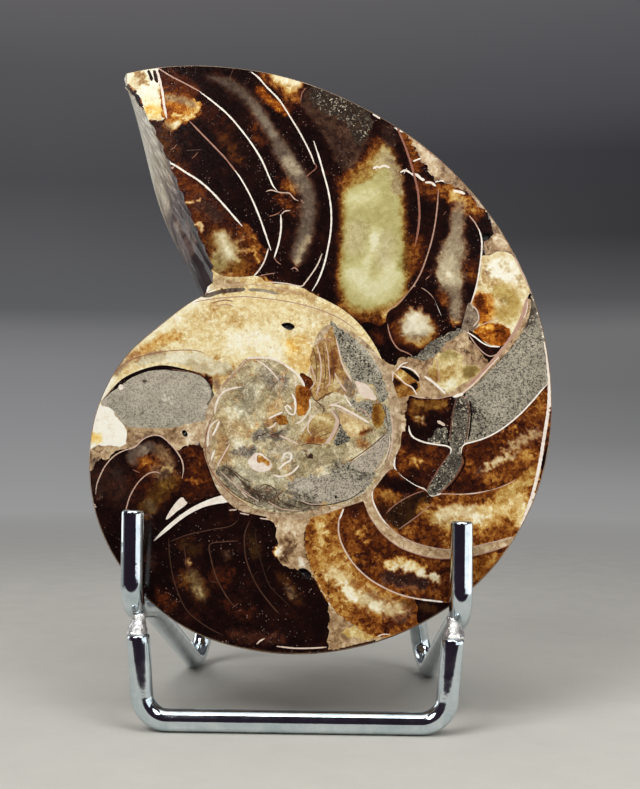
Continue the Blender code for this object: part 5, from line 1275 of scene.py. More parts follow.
def inset(outline, distance_in):
    """The closed outline moved inwards."""
    ahead = np.roll(outline, -1, axis=0) - np.roll(outline, 1, axis=0)
    ahead /= np.hypot(*ahead.T)[:, None]
    return outline + np.stack((-ahead[:, 1], ahead[:, 0]), 1) * distance_in


def face_outline():
    """The face's outline in two parts: the venter from the notch round to the tip, and the broken edge."""
    venter = np.array([back_point(angle, VENTER_SHARE)[:2] for angle in PROFILE_ANGLES])
    edge = smooth([venter[-1], *BROKEN_EDGE, venter[0]], 0.8)[1:-1]
    edge[:, 0] += 0.22 * np.sin(1.9 * edge[:, 1]) + 0.16 * np.sin(4.3 * edge[:, 1] + 1)
    return venter, edge


class Solid:
    """Points and faces gathered for one closed mesh, each face with its kind of stone."""

    def __init__(self):
        self.points = []
        self.faces = []
        self.kinds = []
        self.values = []

    def add_points(self, points):
        """Adds the points and returns their numbers."""
        start = len(self.points)
        self.points += [tuple(point) for point in points]
        return list(range(start, len(self.points)))

    def add_face(self, corners, kind, values=None):
        """Adds a face, without its repeated corners. Each corner may have values for the channels."""
        values = [[0.0] * len(CHANNELS)] * len(corners) if values is None else values
        unique = [i for i, corner in enumerate(corners) if corner not in corners[:i]]
        if len(unique) >= 3:
            self.faces.append([corners[i] for i in unique])
            self.kinds.append(KINDS.index(kind))
            self.values.append([values[i] for i in unique])

    def zip_rows(self, near, near_places, far, far_places, kind, reach, far_reach):
        """Triangles between two rows of points, matched by their places along the rows."""
        low, high = glow_only(reach), glow_only(far_reach)
        i = j = 0
        while i < len(near) - 1 or j < len(far) - 1:
            if j == len(far) - 1 or (i < len(near) - 1 and near_places[i + 1] <= far_places[j + 1]):
                self.add_face((near[i + 1], near[i], far[j]), kind, (low, low, high))
                i += 1
            else:
                self.add_face((near[i], far[j], far[j + 1]), kind, (low, high, high))
                j += 1


def glow_only(glow):
    """The channels' values where only the glow is used."""
    return [glow, 0.0, 0.0, 0.0]


def face_grid(ring):
    """Slightly irregular points inside the ring, in rows that make even triangles."""
    low, high = ring.min(0), ring.max(0)
    grid = []
    for row, v in enumerate(np.arange(low[1], high[1], FACE_STEP * math.sqrt(0.75))):
        grid += [(u, v) for u in np.arange(low[0] + row % 2 * FACE_STEP / 2, high[0], FACE_STEP)]
    grid = wander(np.array(grid), 0.1 * FACE_STEP, 0.9)
    return grid[inside(grid, ring)]


def face_mesh(face, ring):
    """Triangles of the cut face inside its ring, cut along every line that is laid on it.

    Gives the places, the triangles, and the number of each of the ring's points.
    """
    points = [tuple(point) for point in ring]
    edges = [(i, (i + 1) % len(ring)) for i in range(len(ring))]
    for line in face.lines:
        keep = inside(line, ring)
        close = np.flatnonzero(keep)
        keep[close] &= distance(line[close], closed(ring)) > ARRIS_IN
        numbers = {i: len(points) + count for count, i in enumerate(np.flatnonzero(keep))}
        points += [tuple(line[i]) for i in numbers]
        for i, number in numbers.items():
            onward = (i + 1) % len(line)
            if onward in numbers:
                edges.append((number, numbers[onward]))
    tree = KDTree(len(points))
    for i, point in enumerate(points):
        tree.insert((*point, 0.0), i)
    tree.balance()
    clear = GRID_GAP * FACE_STEP
    points += [tuple(point) for point in face_grid(ring) if tree.find((*point, 0.0))[2] > clear]
    found, _, triangles, sources, _, _ = delaunay_2d_cdt([Vector(p) for p in points], edges, [], 0, MERGE)
    places = np.array([tuple(point) for point in found])
    triangles = np.array(triangles)
    triangles = triangles[inside(places[triangles].mean(1), ring)]
    a, b, c = (places[triangles[:, i]] for i in range(3))
    turn = (b - a)[:, 0] * (c - a)[:, 1] - (b - a)[:, 1] * (c - a)[:, 0]
    triangles[turn < 0] = triangles[turn < 0][:, ::-1]
    on_ring = [0] * len(ring)
    for number, source in enumerate(sources):
        for index in source:
            if index < len(ring):
                on_ring[index] = number
    return places, triangles, on_ring


def add_cut_face(solid, outline):
    """The polished face. Returns the numbers of its ring's points."""
    face = cut_face()
    places, triangles, ring = face_mesh(face, inset(outline, ARRIS_IN))
    kinds, values, depths = paint(face, places, triangles)
    crumbly = np.ones(len(places), bool)  # where only matrix meets, which has small dents
    crumbly[triangles[kinds != KINDS.index("matrix")].ravel()] = False
    dents = (wander(places, 2.0, 1.3) - places)[:, 0]
    depths += np.where(crumbly, np.clip(0.05 + 0.05 * dents, 0, 0.2), 0.0)
    solid.add_points(np.column_stack((places, depths)))
    for corners, kind, at_corners in zip(triangles.tolist(), kinds.tolist(), values.tolist()):
        solid.add_face(corners, KINDS[kind], at_corners)
    return ring


def add_arris(solid, outline, ring):
    """The narrow bevel between the cut face's ring and the outside. Returns its outer points' numbers."""
    outer = solid.add_points([(u, v, ARRIS_BACK) for u, v in outline])
    for i in range(len(outline)):
        onward = (i + 1) % len(outline)
        kind = "nacre" if i >= AROUND else "outer_shell"
        solid.add_face((ring[onward], ring[i], outer[i], outer[onward]), kind)
    return outer


def add_back(solid, outer):
    """The worn back. Returns the numbers of the points along its first and its last profile."""
    umbilicus = solid.add_points([(*SPIRAL_CENTRE, UMBILICUS_DEPTH)])
    shares = [math.cos(math.pi / 2 * k / ACROSS) for k in range(1, ACROSS)]
    profiles = []
    for rim, angle in zip(outer, PROFILE_ANGLES):
        overhang = END_OVERHANG * float(ease(angle, LAST_ANGLE - OVERHANG_SPAN, LAST_ANGLE))
        points = [worn_back_point(angle, share, overhang) for share in shares]
        profiles.append([rim] + solid.add_points(points) + umbilicus)
    for profile, onward in zip(profiles, profiles[1:]):
        for k in range(ACROSS):
            solid.add_face((onward[k], profile[k], profile[k + 1], onward[k + 1]), "outer_shell")
    return profiles[0], profiles[-1]


def along_row(solid, row, places, columns):
    """Points at these columns along a row of the solid's points, which lie at these places."""
    spots = np.array(solid.points)[row]
    return np.stack([np.interp(columns, places, spots[:, i]) for i in range(3)], 1)


def add_broken_end(solid, near, edge_count, far):
    """The broken end: rows of points from the notch, with the broken edge, to the far profile."""
    near_places = np.concatenate((
        np.linspace(0, BREAK_SHARE, edge_count + 1, endpoint=False), np.linspace(BREAK_SHARE, 1, ACROSS + 1)
    ))
    far_places = np.linspace(0, 1, ACROSS + 1)
    columns = np.linspace(0, 1, WALL_COLUMNS + 1)
    starts = along_row(solid, near, near_places, columns)[1:-1]
    ends = along_row(solid, far, far_places, columns)[1:-1]
    rows = []
    for t in (row / WALL_ROWS for row in range(1, WALL_ROWS)):
        points = []
        for column, (start, end) in enumerate(zip(starts, ends), start=1):
            u, v, w = start + (end - start) * t
            fade = min(1.0, 6 * t, 6 * (1 - t)) * min(1.0, column / 12, (WALL_COLUMNS - column) / 12)
            bump = BREAK_BUMP * ripple(0.9 * u, 0.25 * v, 1.4 * w)
            bump += 0.12 * math.sin(1.7 * w + 0.6 * math.sin(0.4 * v))
            points.append((u + fade * (0.2 + 0.6 * bump), v + 0.3 * fade * bump, w))
        rows.append([near[0]] + solid.add_points(points) + [far[-1]])
    solid.zip_rows(near, near_places, rows[0], columns, "nacre", 0.0, 1 / WALL_ROWS)
    for number, (row, onward) in enumerate(zip(rows, rows[1:]), start=1):
        low, high = glow_only(number / WALL_ROWS), glow_only((number + 1) / WALL_ROWS)
        for c in range(WALL_COLUMNS):
            solid.add_face((row[c + 1], row[c], onward[c], onward[c + 1]), "nacre", (low, low, high, high))
    solid.zip_rows(rows[-1], columns, far, far_places, "nacre", 1 - 1 / WALL_ROWS, 1.0)


def new_object(name, data):
    """An object for the mesh, lamp or camera, linked to the scene."""
    item = bpy.data.objects.new(name, data)
    bpy.context.scene.collection.objects.link(item)
    return item


def make_fossil():
    """The whole stone as one closed mesh: cut face, worn back and broken end."""
    solid = Solid()
    venter, edge = face_outline()
    outline = np.vstack((venter, edge))
    ring = add_cut_face(solid, outline)
    outer = add_arris(solid, outline, ring)
    first, last = add_back(solid, outer)
    add_broken_end(solid, outer[AROUND:] + first, len(edge), last)
    mesh = bpy.data.meshes.new("nautiloid")
    mesh.from_pydata([tuple(point) for point in to_world(solid.points)], [], solid.faces)
    mesh.update()
    mesh.polygons.foreach_set("material_index", np.array(solid.kinds, np.int32))
    at_corners = np.array([value for face_values in solid.values for value in face_values])
    for index, name in enumerate(CHANNELS):
        attribute = mesh.attributes.new(name, "FLOAT", "CORNER")
        attribute.data.foreach_set("value", at_corners[:, index].astype(np.float32))
    mesh.shade_smooth()
    mesh.set_sharp_from_angle(angle=SHARP_ANGLE)
    return new_object("nautiloid", mesh)


# ---- materials ----


def rgb(red, green, blue):
    """A screen colour, 0 to 255, as the linear colour that the shaders use."""
    return tuple(
        part / 12.92 if part <= 0.04045 else ((part + 0.055) / 1.055) ** 2.4
        for part in (red / 255, green / 255, blue / 255)
    ) + (1.0,)


class Nodes:
    """Short calls for the nodes of one node tree."""

    def __init__(self, tree):
        self.tree = tree

    def node(self, kind, inputs=None, **settings):
        """A new node. Each of its inputs is a value or another node's output."""
        node = self.tree.nodes.new(kind)
        for name, value in settings.items():
            setattr(node, name, value)
        for name, value in (inputs or {}).items():
            self.feed(node.inputs[name], value)
        return node

    def feed(self, socket, value):
        """Sets an input to a plain value, or links another node's output to it."""
        if isinstance(value, bpy.types.NodeSocket):
            self.tree.links.new(value, socket)
        else:
            socket.default_value = value

    def coordinates(self, kind):
        return self.node("ShaderNodeTexCoord").outputs[kind]

    def math(self, operation, a, b=0.0, clamp=False):
        return self.node("ShaderNodeMath", {0: a, 1: b}, operation=operation, use_clamp=clamp).outputs[0]

    def add(self, a, b):
        return self.math("ADD", a, b)

    def less(self, a, b):
        return self.math("SUBTRACT", a, b)

    def times(self, a, b, clamp=False):
        return self.math("MULTIPLY", a, b, clamp)

    def fit(self, value, low, high, to_low=0.0, to_high=1.0):
        """The value moved from one range to another, and kept inside it."""
        return self.node("ShaderNodeMapRange", {0: value, 1: low, 2: high, 3: to_low, 4: to_high}).outputs[0]

    def ramp(self, value, stops):
        """The colour at the value, between stops of a place and a screen colour."""
        node = self.node("ShaderNodeValToRGB", {"Fac": value})
        elements = node.color_ramp.elements
        while len(elements) < len(stops):
            elements.new(1.0)
        for element, (place, colour) in zip(elements, stops):
            element.position = place
            element.color = rgb(*colour)
        return node.outputs["Color"]

    def mix(self, amount, a, b, way="MIX"):
        node = self.node("ShaderNodeMix", {0: amount, 6: a, 7: b}, data_type="RGBA", blend_type=way)
        return node.outputs[2]


class Finish(Nodes):
    """One material. Lengths are in mm. A texture's shift keeps it from repeating another one's pattern."""

    def __init__(self, name):
        self.material = bpy.data.materials.new(name)
        self.material.use_nodes = True
        super().__init__(self.material.node_tree)
        self.shader = self.tree.nodes["Principled BSDF"]
        scaled = {"Vector": self.coordinates("Object"), "Scale": 1 / MM}
        self.place = self.node("ShaderNodeVectorMath", scaled, operation="SCALE").outputs["Vector"]

    def channel(self, name):
        """One of the values painted on the cut face."""
        return self.node("ShaderNodeAttribute", attribute_name=name).outputs["Fac"]

    def spot(self, shift, place):
        """Where to look a texture up."""
        if shift is None:
            return place or self.place
        return self.node("ShaderNodeMapping", {"Vector": self.place, "Location": shift}).outputs[0]

    def noise(self, size, detail=3.0, rough=0.55, bend=0.0, shift=None, place=None):
        """Clouds of about this size, mostly between 0.3 and 0.7."""
        inputs = {
            "Vector": self.spot(shift, place), "Scale": 1 / size, "Detail": detail, "Roughness": rough,
            "Distortion": bend,
        }
        return self.node("ShaderNodeTexNoise", inputs).outputs[0]

    def cells(self, size, shift=None, place=None, feature="F1"):
        """The outputs of a texture of irregular cells of about this size."""
        inputs = {"Vector": self.spot(shift, place), "Scale": 1 / size}
        return self.node("ShaderNodeTexVoronoi", inputs, feature=feature).outputs

    def chance(self, cells):
        """A random value in each cell."""
        return self.node("ShaderNodeSeparateColor", {"Color": cells["Color"]}).outputs[0]

    def grains(self, size, shift=None, place=None):
        """A random value in each grain of about this size."""
        return self.chance(self.cells(size, shift, place))

    def dots(self, size, share, radius, shift=None):
        """Small round dots, in this share of the cells of about this size."""
        cells = self.cells(size, shift)
        near = self.fit(cells["Distance"], 0.4 * radius / size, radius / size, 1.0, 0.0)
        return self.times(near, self.math("LESS_THAN", self.chance(cells), share))

    def cracks(self, size, width, shift=None, place=None, most=1.0):
        """Lines between cells of about this size. They fade out over the two distances of the width."""
        away = self.cells(size, shift, place, "DISTANCE_TO_EDGE")["Distance"]
        return self.fit(away, *width, most, 0.0)

    def ridges(self, value, inner, outer):
        """Thin lines where the value is close to a half."""
        return self.fit(self.math("ABSOLUTE", self.less(value, 0.5)), inner, outer, 1.0, 0.0)

    def finish(self, colour, roughness, height=None, bump=0.0, **plain):
        """Connects the colour and roughness, adds a bump of this many mm, and sets the plain values."""
        self.feed(self.shader.inputs["Base Color"], colour)
        self.feed(self.shader.inputs["Roughness"], roughness)
        for name, value in plain.items():
            self.shader.inputs[name.replace("_", " ").title().replace("Ior", "IOR")].default_value = value
        if height is not None:
            node = self.node("ShaderNodeBump", {"Height": height, "Distance": bump * MM, "Strength": 1.0})
            self.feed(self.shader.inputs["Normal"], node.outputs[0])
        return self.material


WARM = (
    (0.0, (11, 6, 5)), (0.12, (32, 14, 10)), (0.25, (66, 28, 13)), (0.38, (108, 54, 19)),
    (0.5, (150, 90, 34)), (0.62, (184, 134, 60)), (0.75, (210, 174, 104)), (0.87, (236, 216, 156)),
    (0.94, (246, 236, 192)), (1.0, (250, 247, 230)),
)
GREEN = (
    (0.0, (11, 7, 5)), (0.15, (34, 21, 12)), (0.3, (72, 48, 18)), (0.45, (116, 90, 36)),
    (0.6, (152, 138, 76)), (0.75, (178, 168, 108)), (0.88, (200, 192, 134)), (1.0, (230, 226, 190)),
)
CLOUDY = (
    (0.0, (12, 8, 7)), (0.2, (46, 38, 33)), (0.4, (98, 87, 75)), (0.6, (148, 137, 117)),
    (0.8, (200, 190, 164)), (1.0, (248, 244, 228)),
)
HONEY = (
    (0.0, (22, 8, 4)), (0.25, (88, 36, 10)), (0.45, (164, 84, 20)), (0.62, (214, 138, 40)),
    (0.76, (240, 186, 78)), (0.88, (250, 220, 130)), (1.0, (254, 244, 200)),
)


def calcite():
    """Clear to milky crystal, from near black to white. Green, milk and honey choose among four scales."""
    f = Finish("calcite")
    glow, green, milk, honey = (f.channel(name) for name in CHANNELS)
    calm = f.less(1.0, f.math("MAXIMUM", f.times(milk, 0.75), f.times(green, 0.7)))
    middling = f.math("POWER", f.times(f.times(glow, 4), f.less(1.02, glow), clamp=True), 1.3)
    lively = f.times(f.add(0.02, f.times(middling, 0.12)), f.add(0.25, f.times(calm, 0.75)))
    cloud = f.fit(f.noise(3.2, 4, 0.6, 0.9), 0.3, 0.7, -1, 1)
    crystal = f.fit(f.grains(0.75, shift=(3, 1, 7)), 0, 1, -1, 1)
    fine = f.fit(f.noise(0.4, 3, 0.7), 0.3, 0.7, -1, 1)
    wave = f.add(f.times(cloud, 0.5), f.add(f.times(crystal, 0.8), f.times(fine, 0.75)))
    level = f.add(glow, f.times(wave, lively))
    vein = f.ridges(f.noise(2.6, 3, 0.6, 1.2, shift=(8, 2, 6)), 0.0, 0.018)
    here = f.fit(f.noise(4.0, 3, 0.6, shift=(1, 9, 4)), 0.45, 0.6)
    level = f.add(level, f.times(f.times(vein, here), f.times(f.times(middling, calm), 0.26)))
    dark = f.fit(f.noise(0.9, 3, 0.6, shift=(11, 5, 2)), 0.6, 0.72)
    level = f.less(level, f.times(f.times(dark, calm), f.times(middling, 0.16)))
    smoke = f.fit(f.noise(4.4, 4, 0.62, 0.6, shift=(2, 13, 5)), 0.5, 0.76, 0.0, 0.12)
    level = f.add(level, f.times(smoke, f.fit(glow, 0.1, 0.3, 1.0, 0.0)))
    colour = f.mix(green, f.ramp(level, WARM), f.ramp(level, GREEN))
    colour = f.mix(milk, colour, f.ramp(level, CLOUDY))
    colour = f.mix(honey, colour, f.ramp(level, HONEY))
    dusty = f.fit(f.noise(7.0, 2, 0.5, shift=(5, 1, 8)), 0.47, 0.6, 0.06, 1.0)
    dust = f.math("MAXIMUM", f.dots(0.7, 0.6, 0.11), f.dots(0.42, 0.3, 0.08, shift=(3, 3, 3)))
    dust = f.times(f.times(dust, dusty), f.fit(glow, 0.2, 0.4, 0.7, 0.3))
    colour = f.mix(dust, colour, rgb(206, 176, 158))
    bright = f.times(f.fit(glow, 0.7, 0.8), calm)
    veil = f.fit(f.noise(1.5, 5, 0.7, 0.8, shift=(7, 3, 9)), 0.52, 0.66, 0.0, 0.5)
    flake = f.fit(f.noise(0.5, 3, 0.65, shift=(2, 5, 1)), 0.6, 0.68, 0.0, 0.5)
    pale = f.fit(f.noise(0.8, 4, 0.7, shift=(9, 9, 2)), 0.56, 0.66, 0.0, 0.6)
    for amount, tint in ((veil, (214, 176, 110)), (flake, (168, 132, 84)), (pale, (250, 244, 214))):
        colour = f.mix(f.times(bright, amount), colour, rgb(*tint))
    scratch = f.fit(f.noise(0.5, 3, 0.6, shift=(5, 5, 5)), 0.3, 0.7, 0.07, 0.15)
    return f.finish(colour, scratch, f.noise(0.7, 3, 0.5), 0.006, specular_ior_level=0.4)


def rubble():
    """Broken shell and crystal, crushed together: cells of many tones with dark seams and pale splinters."""
    f = Finish("rubble")
    glow, green, milk, honey = (f.channel(name) for name in CHANNELS)
    sway = f.node("ShaderNodeTexNoise", {"Vector": f.place, "Scale": 0.5, "Detail": 3.0}).outputs["Color"]
    swayed = f.place
    for _ in range(3):
        swayed = f.node("ShaderNodeVectorMath", {0: swayed, 1: sway}, operation="ADD").outputs["Vector"]
    large = f.fit(f.grains(2.3, place=swayed), 0, 1, -1, 1)
    small = f.fit(f.grains(0.8, place=swayed), 0, 1, -1, 1)
    fine = f.fit(f.noise(0.35, 3, 0.7), 0.3, 0.7, -1, 1)
    cloud = f.fit(f.noise(2.0, 4, 0.65, 0.8), 0.3, 0.7, -1, 1)
    cells = f.add(f.times(large, 0.06), f.times(small, 0.08))
    level = f.add(glow, f.add(cells, f.add(f.times(fine, 0.13), f.times(cloud, 0.15))))
    tan = f.ramp(level, (
        (0.0, (30, 22, 15)), (0.25, (84, 66, 44)), (0.45, (134, 112, 78)), (0.62, (176, 154, 114)),
        (0.8, (216, 200, 160)), (1.0, (246, 238, 214)),
    ))
    olive = f.ramp(level, (
        (0.0, (26, 23, 16)), (0.25, (74, 66, 42)), (0.45, (124, 114, 76)), (0.62, (164, 154, 112)),
        (0.8, (210, 204, 160)), (1.0, (246, 242, 212)),
    ))
    grey = f.ramp(level, (
        (0.0, (24, 22, 20)), (0.3, (84, 78, 70)), (0.6, (150, 142, 128)), (1.0, (236, 232, 218)),
    ))
    colour = f.mix(milk, f.mix(green, tan, olive), grey)
    amber = f.fit(f.noise(1.8, 3, 0.6, 0.5, shift=(4, 1, 2)), 0.54, 0.68, 0.0, 0.55)
    amber = f.times(amber, f.fit(green, 0.2, 0.8, 1.0, 0.15))
    colour = f.mix(f.math("MAXIMUM", amber, honey), colour, f.ramp(level, HONEY))
    broken = f.fit(f.noise(1.6, 3, 0.6, shift=(6, 6, 1)), 0.4, 0.56)
    seam = f.times(f.cracks(1.3, (0.02, 0.06), place=swayed), broken)
    colour = f.mix(f.times(seam, f.fit(milk, 0.1, 0.6, 0.1, 0.8)), colour, rgb(62, 48, 34))
    splinter = f.ridges(f.noise(1.5, 2, 0.5, 1.6, shift=(3, 8, 4)), 0.006, 0.02)
    pale_here = f.fit(f.noise(2.2, 3, 0.6, shift=(9, 2, 7)), 0.48, 0.6)
    colour = f.mix(f.times(f.times(splinter, pale_here), 0.7), colour, rgb(236, 222, 196))
    pepper = f.fit(f.noise(0.3, 2, 0.6, shift=(7, 7, 1)), 0.62, 0.7)
    colour = f.mix(f.times(pepper, f.fit(milk, 0.1, 0.6, 0.25, 0.8)), colour, rgb(58, 46, 34))
    return f.finish(colour, f.fit(cloud, -1, 1, 0.12, 0.28), fine, 0.012, specular_ior_level=0.3)


def sediment():
    """Fine hardened mud. Glow lightens it, green greys it, and milk strengthens its pale and dark grains."""
    f = Finish("sediment")
    cloud = f.fit(f.noise(2.2, 5, 0.6), 0.3, 0.7, -0.07, 0.07)
    level = f.add(f.channel("glow"), cloud)
    brown = f.ramp(level, (
        (0.0, (28, 16, 8)), (0.25, (76, 57, 42)), (0.5, (128, 112, 96)), (0.75, (176, 162, 142)),
        (1.0, (226, 216, 198)),
    ))
    grey = f.ramp(level, (
        (0.0, (26, 24, 21)), (0.25, (84, 79, 69)), (0.5, (154, 147, 127)), (0.75, (200, 192, 170)),
        (1.0, (232, 226, 208)),
    ))
    colour = f.mix(f.channel("green"), brown, grey)
    salt = f.fit(f.grains(0.24), 0.8, 0.9)
    pepper = f.fit(f.grains(0.22, shift=(4, 8, 2)), 0.62, 0.74)
    patches = f.fit(f.noise(2.4, 2, 0.5, shift=(9, 3, 1)), 0.4, 0.6)
    strength = f.channel("milk")
    colour = f.mix(f.times(f.times(pepper, strength), 0.95), colour, rgb(32, 28, 25))
    salted = f.times(f.times(strength, strength), f.times(salt, f.add(0.15, patches)))
    colour = f.mix(f.times(salted, 0.8), colour, rgb(214, 202, 174))
    fine = f.fit(f.noise(0.16, 2, 0.7), 0.3, 0.7, 0.68, 1.3)
    shade = f.node("ShaderNodeCombineColor", {0: fine, 1: fine, 2: fine}).outputs[0]
    colour = f.mix(1.0, colour, shade, "MULTIPLY")
    roughness = f.fit(f.grains(0.34), 0, 1, 0.16, 0.3)
    return f.finish(colour, roughness, f.grains(0.3), 0.01, specular_ior_level=0.18)


def matrix():
    """Tan, crumbly stone between the chambers, with cream and brown bits."""
    f = Finish("matrix")
    cloud = f.fit(f.noise(1.3, 6, 0.68, 0.6), 0.3, 0.7, -0.17, 0.17)
    bits = f.fit(f.grains(0.7, shift=(2, 6, 3)), 0, 1, -0.11, 0.11)
    level = f.add(f.channel("glow"), f.add(cloud, bits))
    seam = f.cracks(1.5, (0.0, 0.05), shift=(5, 1, 1))
    broken = f.fit(f.noise(2.0, 3, 0.6, shift=(6, 6, 1)), 0.46, 0.6)
    level = f.less(level, f.times(f.times(seam, broken), 0.35))
    tan = f.ramp(level, (
        (0.0, (40, 24, 15)), (0.2, (92, 62, 38)), (0.4, (146, 114, 78)), (0.6, (184, 154, 114)),
        (0.8, (216, 194, 156)), (1.0, (242, 232, 208)),
    ))
    grey = f.ramp(level, (
        (0.0, (34, 28, 24)), (0.3, (96, 86, 74)), (0.6, (158, 146, 126)), (1.0, (236, 230, 212)),
    ))
    colour = f.mix(f.channel("green"), tan, grey)
    speck = f.fit(f.noise(0.32, 2, 0.6, shift=(7, 7, 1)), 0.64, 0.72)
    colour = f.mix(f.times(speck, 0.7), colour, rgb(74, 46, 30))
    spark = f.fit(f.noise(0.45, 2, 0.6, shift=(1, 4, 9)), 0.66, 0.74)
    colour = f.mix(f.times(spark, 0.7), colour, rgb(240, 228, 200))
    roughness = f.fit(cloud, -0.17, 0.17, 0.22, 0.4)
    return f.finish(colour, roughness, f.noise(0.35, 4, 0.7), 0.03, specular_ior_level=0.3)


def shell():
    """White to pink-brown shell of the septa, thin and slightly uneven."""
    f = Finish("shell")
    level = f.add(f.channel("glow"), f.fit(f.noise(0.9, 4, 0.6), 0.3, 0.7, -0.05, 0.04))
    colour = f.ramp(level, (
        (0.0, (24, 14, 10)), (0.2, (66, 44, 33)), (0.35, (104, 70, 54)), (0.5, (150, 98, 78)),
        (0.65, (180, 138, 116)), (0.8, (208, 180, 158)), (0.92, (228, 208, 188)), (1.0, (246, 238, 222)),
    ))
    return f.finish(colour, f.fit(f.noise(0.5), 0.3, 0.7, 0.16, 0.26))


def cavity():
    """Crystal-lined holes painted near black: painted shade in their hollows, with specks of the lining's
    paler crystal.
    """
    f = Finish("cavity")
    # The ramp is mostly near black, which is painted shade in the hollow; its paler top end gives the
    # lining's crystal specks.
    colour = f.ramp(f.noise(0.3, 4, 0.7), (
        (0.0, (10, 8, 7)), (0.55, (24, 17, 13)), (0.72, (88, 66, 48)), (1.0, (170, 150, 120)),
    ))
    return f.finish(colour, f.fit(f.grains(0.25), 0, 1, 0.15, 0.6), f.grains(0.25), 0.08)


def nacre():
    """The broken end: layered shell and calcite in brown, grey and cream streaks that run up the break."""
    f = Finish("nacre")
    height = f.node("ShaderNodeSeparateXYZ", {0: f.place}).outputs["Z"]
    depth = f.channel("glow")  # from the cut face, 0, to the outside, 1
    stretched = {"X": f.times(depth, 9.0), "Y": 0.0, "Z": f.times(height, 0.1)}
    along = f.node("ShaderNodeCombineXYZ", stretched).outputs[0]
    streaks = f.noise(1.7, 4, 0.6, 0.5, place=along)
    beside = f.node("ShaderNodeVectorMath", {0: along, 1: (3, 2, 1)}).outputs["Vector"]
    layers = f.noise(0.5, 3, 0.6, 0.2, place=beside)
    cloud = f.noise(3.0, 4, 0.6, 0.8)
    level = f.add(f.add(f.times(streaks, 0.6), f.times(layers, 0.25)), f.times(cloud, 0.15))
    # Painted light: the break is made lighter towards its top, where the lamps light it more brightly.
    level = f.add(level, f.fit(height, 94, 112, -0.07, 0.32))
    level = f.add(level, f.fit(depth, 0.86, 0.97, 0.0, 0.12))
    level = f.less(level, f.fit(depth, 0.04, 0.4, 0.14, 0.0))
    colour = f.ramp(level, (
        (0.36, (40, 27, 26)), (0.43, (86, 66, 60)), (0.5, (128, 110, 98)), (0.57, (172, 154, 130)),
        (0.66, (214, 202, 176)), (0.78, (246, 240, 220)),
    ))
    speck = f.fit(f.noise(0.4, 3, 0.7), 0.52, 0.62)
    rim = f.times(f.fit(depth, 0.03, 0.3, 1.0, 0.0), f.fit(height, 84, 92))
    colour = f.mix(f.times(speck, f.times(rim, 0.8)), colour, rgb(86, 60, 44))
    seam = f.ridges(layers, 0.0, 0.012)
    colour = f.mix(f.times(seam, f.fit(height, 110, 98, 0.0, 0.6)), colour, rgb(60, 44, 42))
    warm = f.times(f.fit(cloud, 0.5, 0.62), f.fit(depth, 0.6, 0.15, 0.0, 0.6))
    colour = f.mix(f.times(warm, f.fit(height, 98, 106)), colour, rgb(190, 156, 104))
    return f.finish(colour, f.fit(layers, 0.3, 0.7, 0.28, 0.45), f.add(streaks, f.times(layers, 0.4)), 0.08)


def outer_shell():
    """The natural outside: brown-grey ribs worn to cream and tan, with patches of dark polish."""
    f = Finish("outer_shell")
    patches = f.noise(11.0, 5, 0.6, 0.7)
    fine = f.noise(1.4, 6, 0.65, 0.3)
    colour = f.ramp(f.add(f.times(patches, 0.7), f.times(fine, 0.3)), (
        (0.28, (48, 33, 24)), (0.4, (92, 66, 46)), (0.5, (136, 108, 80)), (0.6, (172, 148, 116)),
        (0.72, (208, 192, 164)),
    ))
    stain = f.fit(f.noise(5.0, 4, 0.6, 0.5, shift=(20, 3, 8)), 0.55, 0.68)
    colour = f.mix(f.times(stain, 0.75), colour, rgb(104, 56, 30))
    grime = f.cracks(3.2, (0.0, 0.05), shift=(2, 5, 1), most=0.6)
    colour = f.mix(grime, colour, rgb(56, 42, 32))
    grit = f.add(fine, f.times(f.noise(0.5, 4, 0.6), 0.4))
    return f.finish(colour, f.fit(fine, 0.3, 0.7, 0.32, 0.55), grit, 0.12)


def chrome():
    """Bright plating with faint waves, pits and a thin film of dirt."""
    f = Finish("chrome")
    film = f.noise(3.0, 4, 0.6, 0.4)
    pits = f.fit(f.noise(0.35, 2, 0.6), 0.68, 0.76)
    colour = f.ramp(film, ((0.3, (190, 206, 212)), (0.5, (208, 220, 226)), (0.7, (226, 234, 238))))
    colour = f.mix(f.times(pits, 0.5), colour, rgb(120, 118, 118))
    wave = f.add(f.noise(2.2, 2, 0.5), f.times(f.noise(0.6, 3, 0.6), 0.15))
    return f.finish(colour, f.fit(film, 0.3, 0.7, 0.05, 0.12), wave, 0.03, metallic=1.0)


def weld():
    """Lumpy plated weld, duller than the wire, with brown and whitish crust in its hollows."""
    f = Finish("weld")
    lumps = f.noise(1.1, 4, 0.65, 0.5)
    colour = f.ramp(lumps, (
        (0.3, (84, 72, 62)), (0.4, (172, 168, 162)), (0.56, (226, 226, 224)), (0.72, (246, 246, 244)),
    ))
    crust = f.fit(f.noise(0.8, 4, 0.7, shift=(6, 2, 5)), 0.56, 0.66)
    colour = f.mix(f.times(crust, 0.8), colour, rgb(226, 222, 208))
    return f.finish(colour, f.fit(lumps, 0.3, 0.7, 0.4, 0.16), lumps, 0.3, metallic=0.85)


# ---- the stand's wires, along the same lines as the CAD wires ----

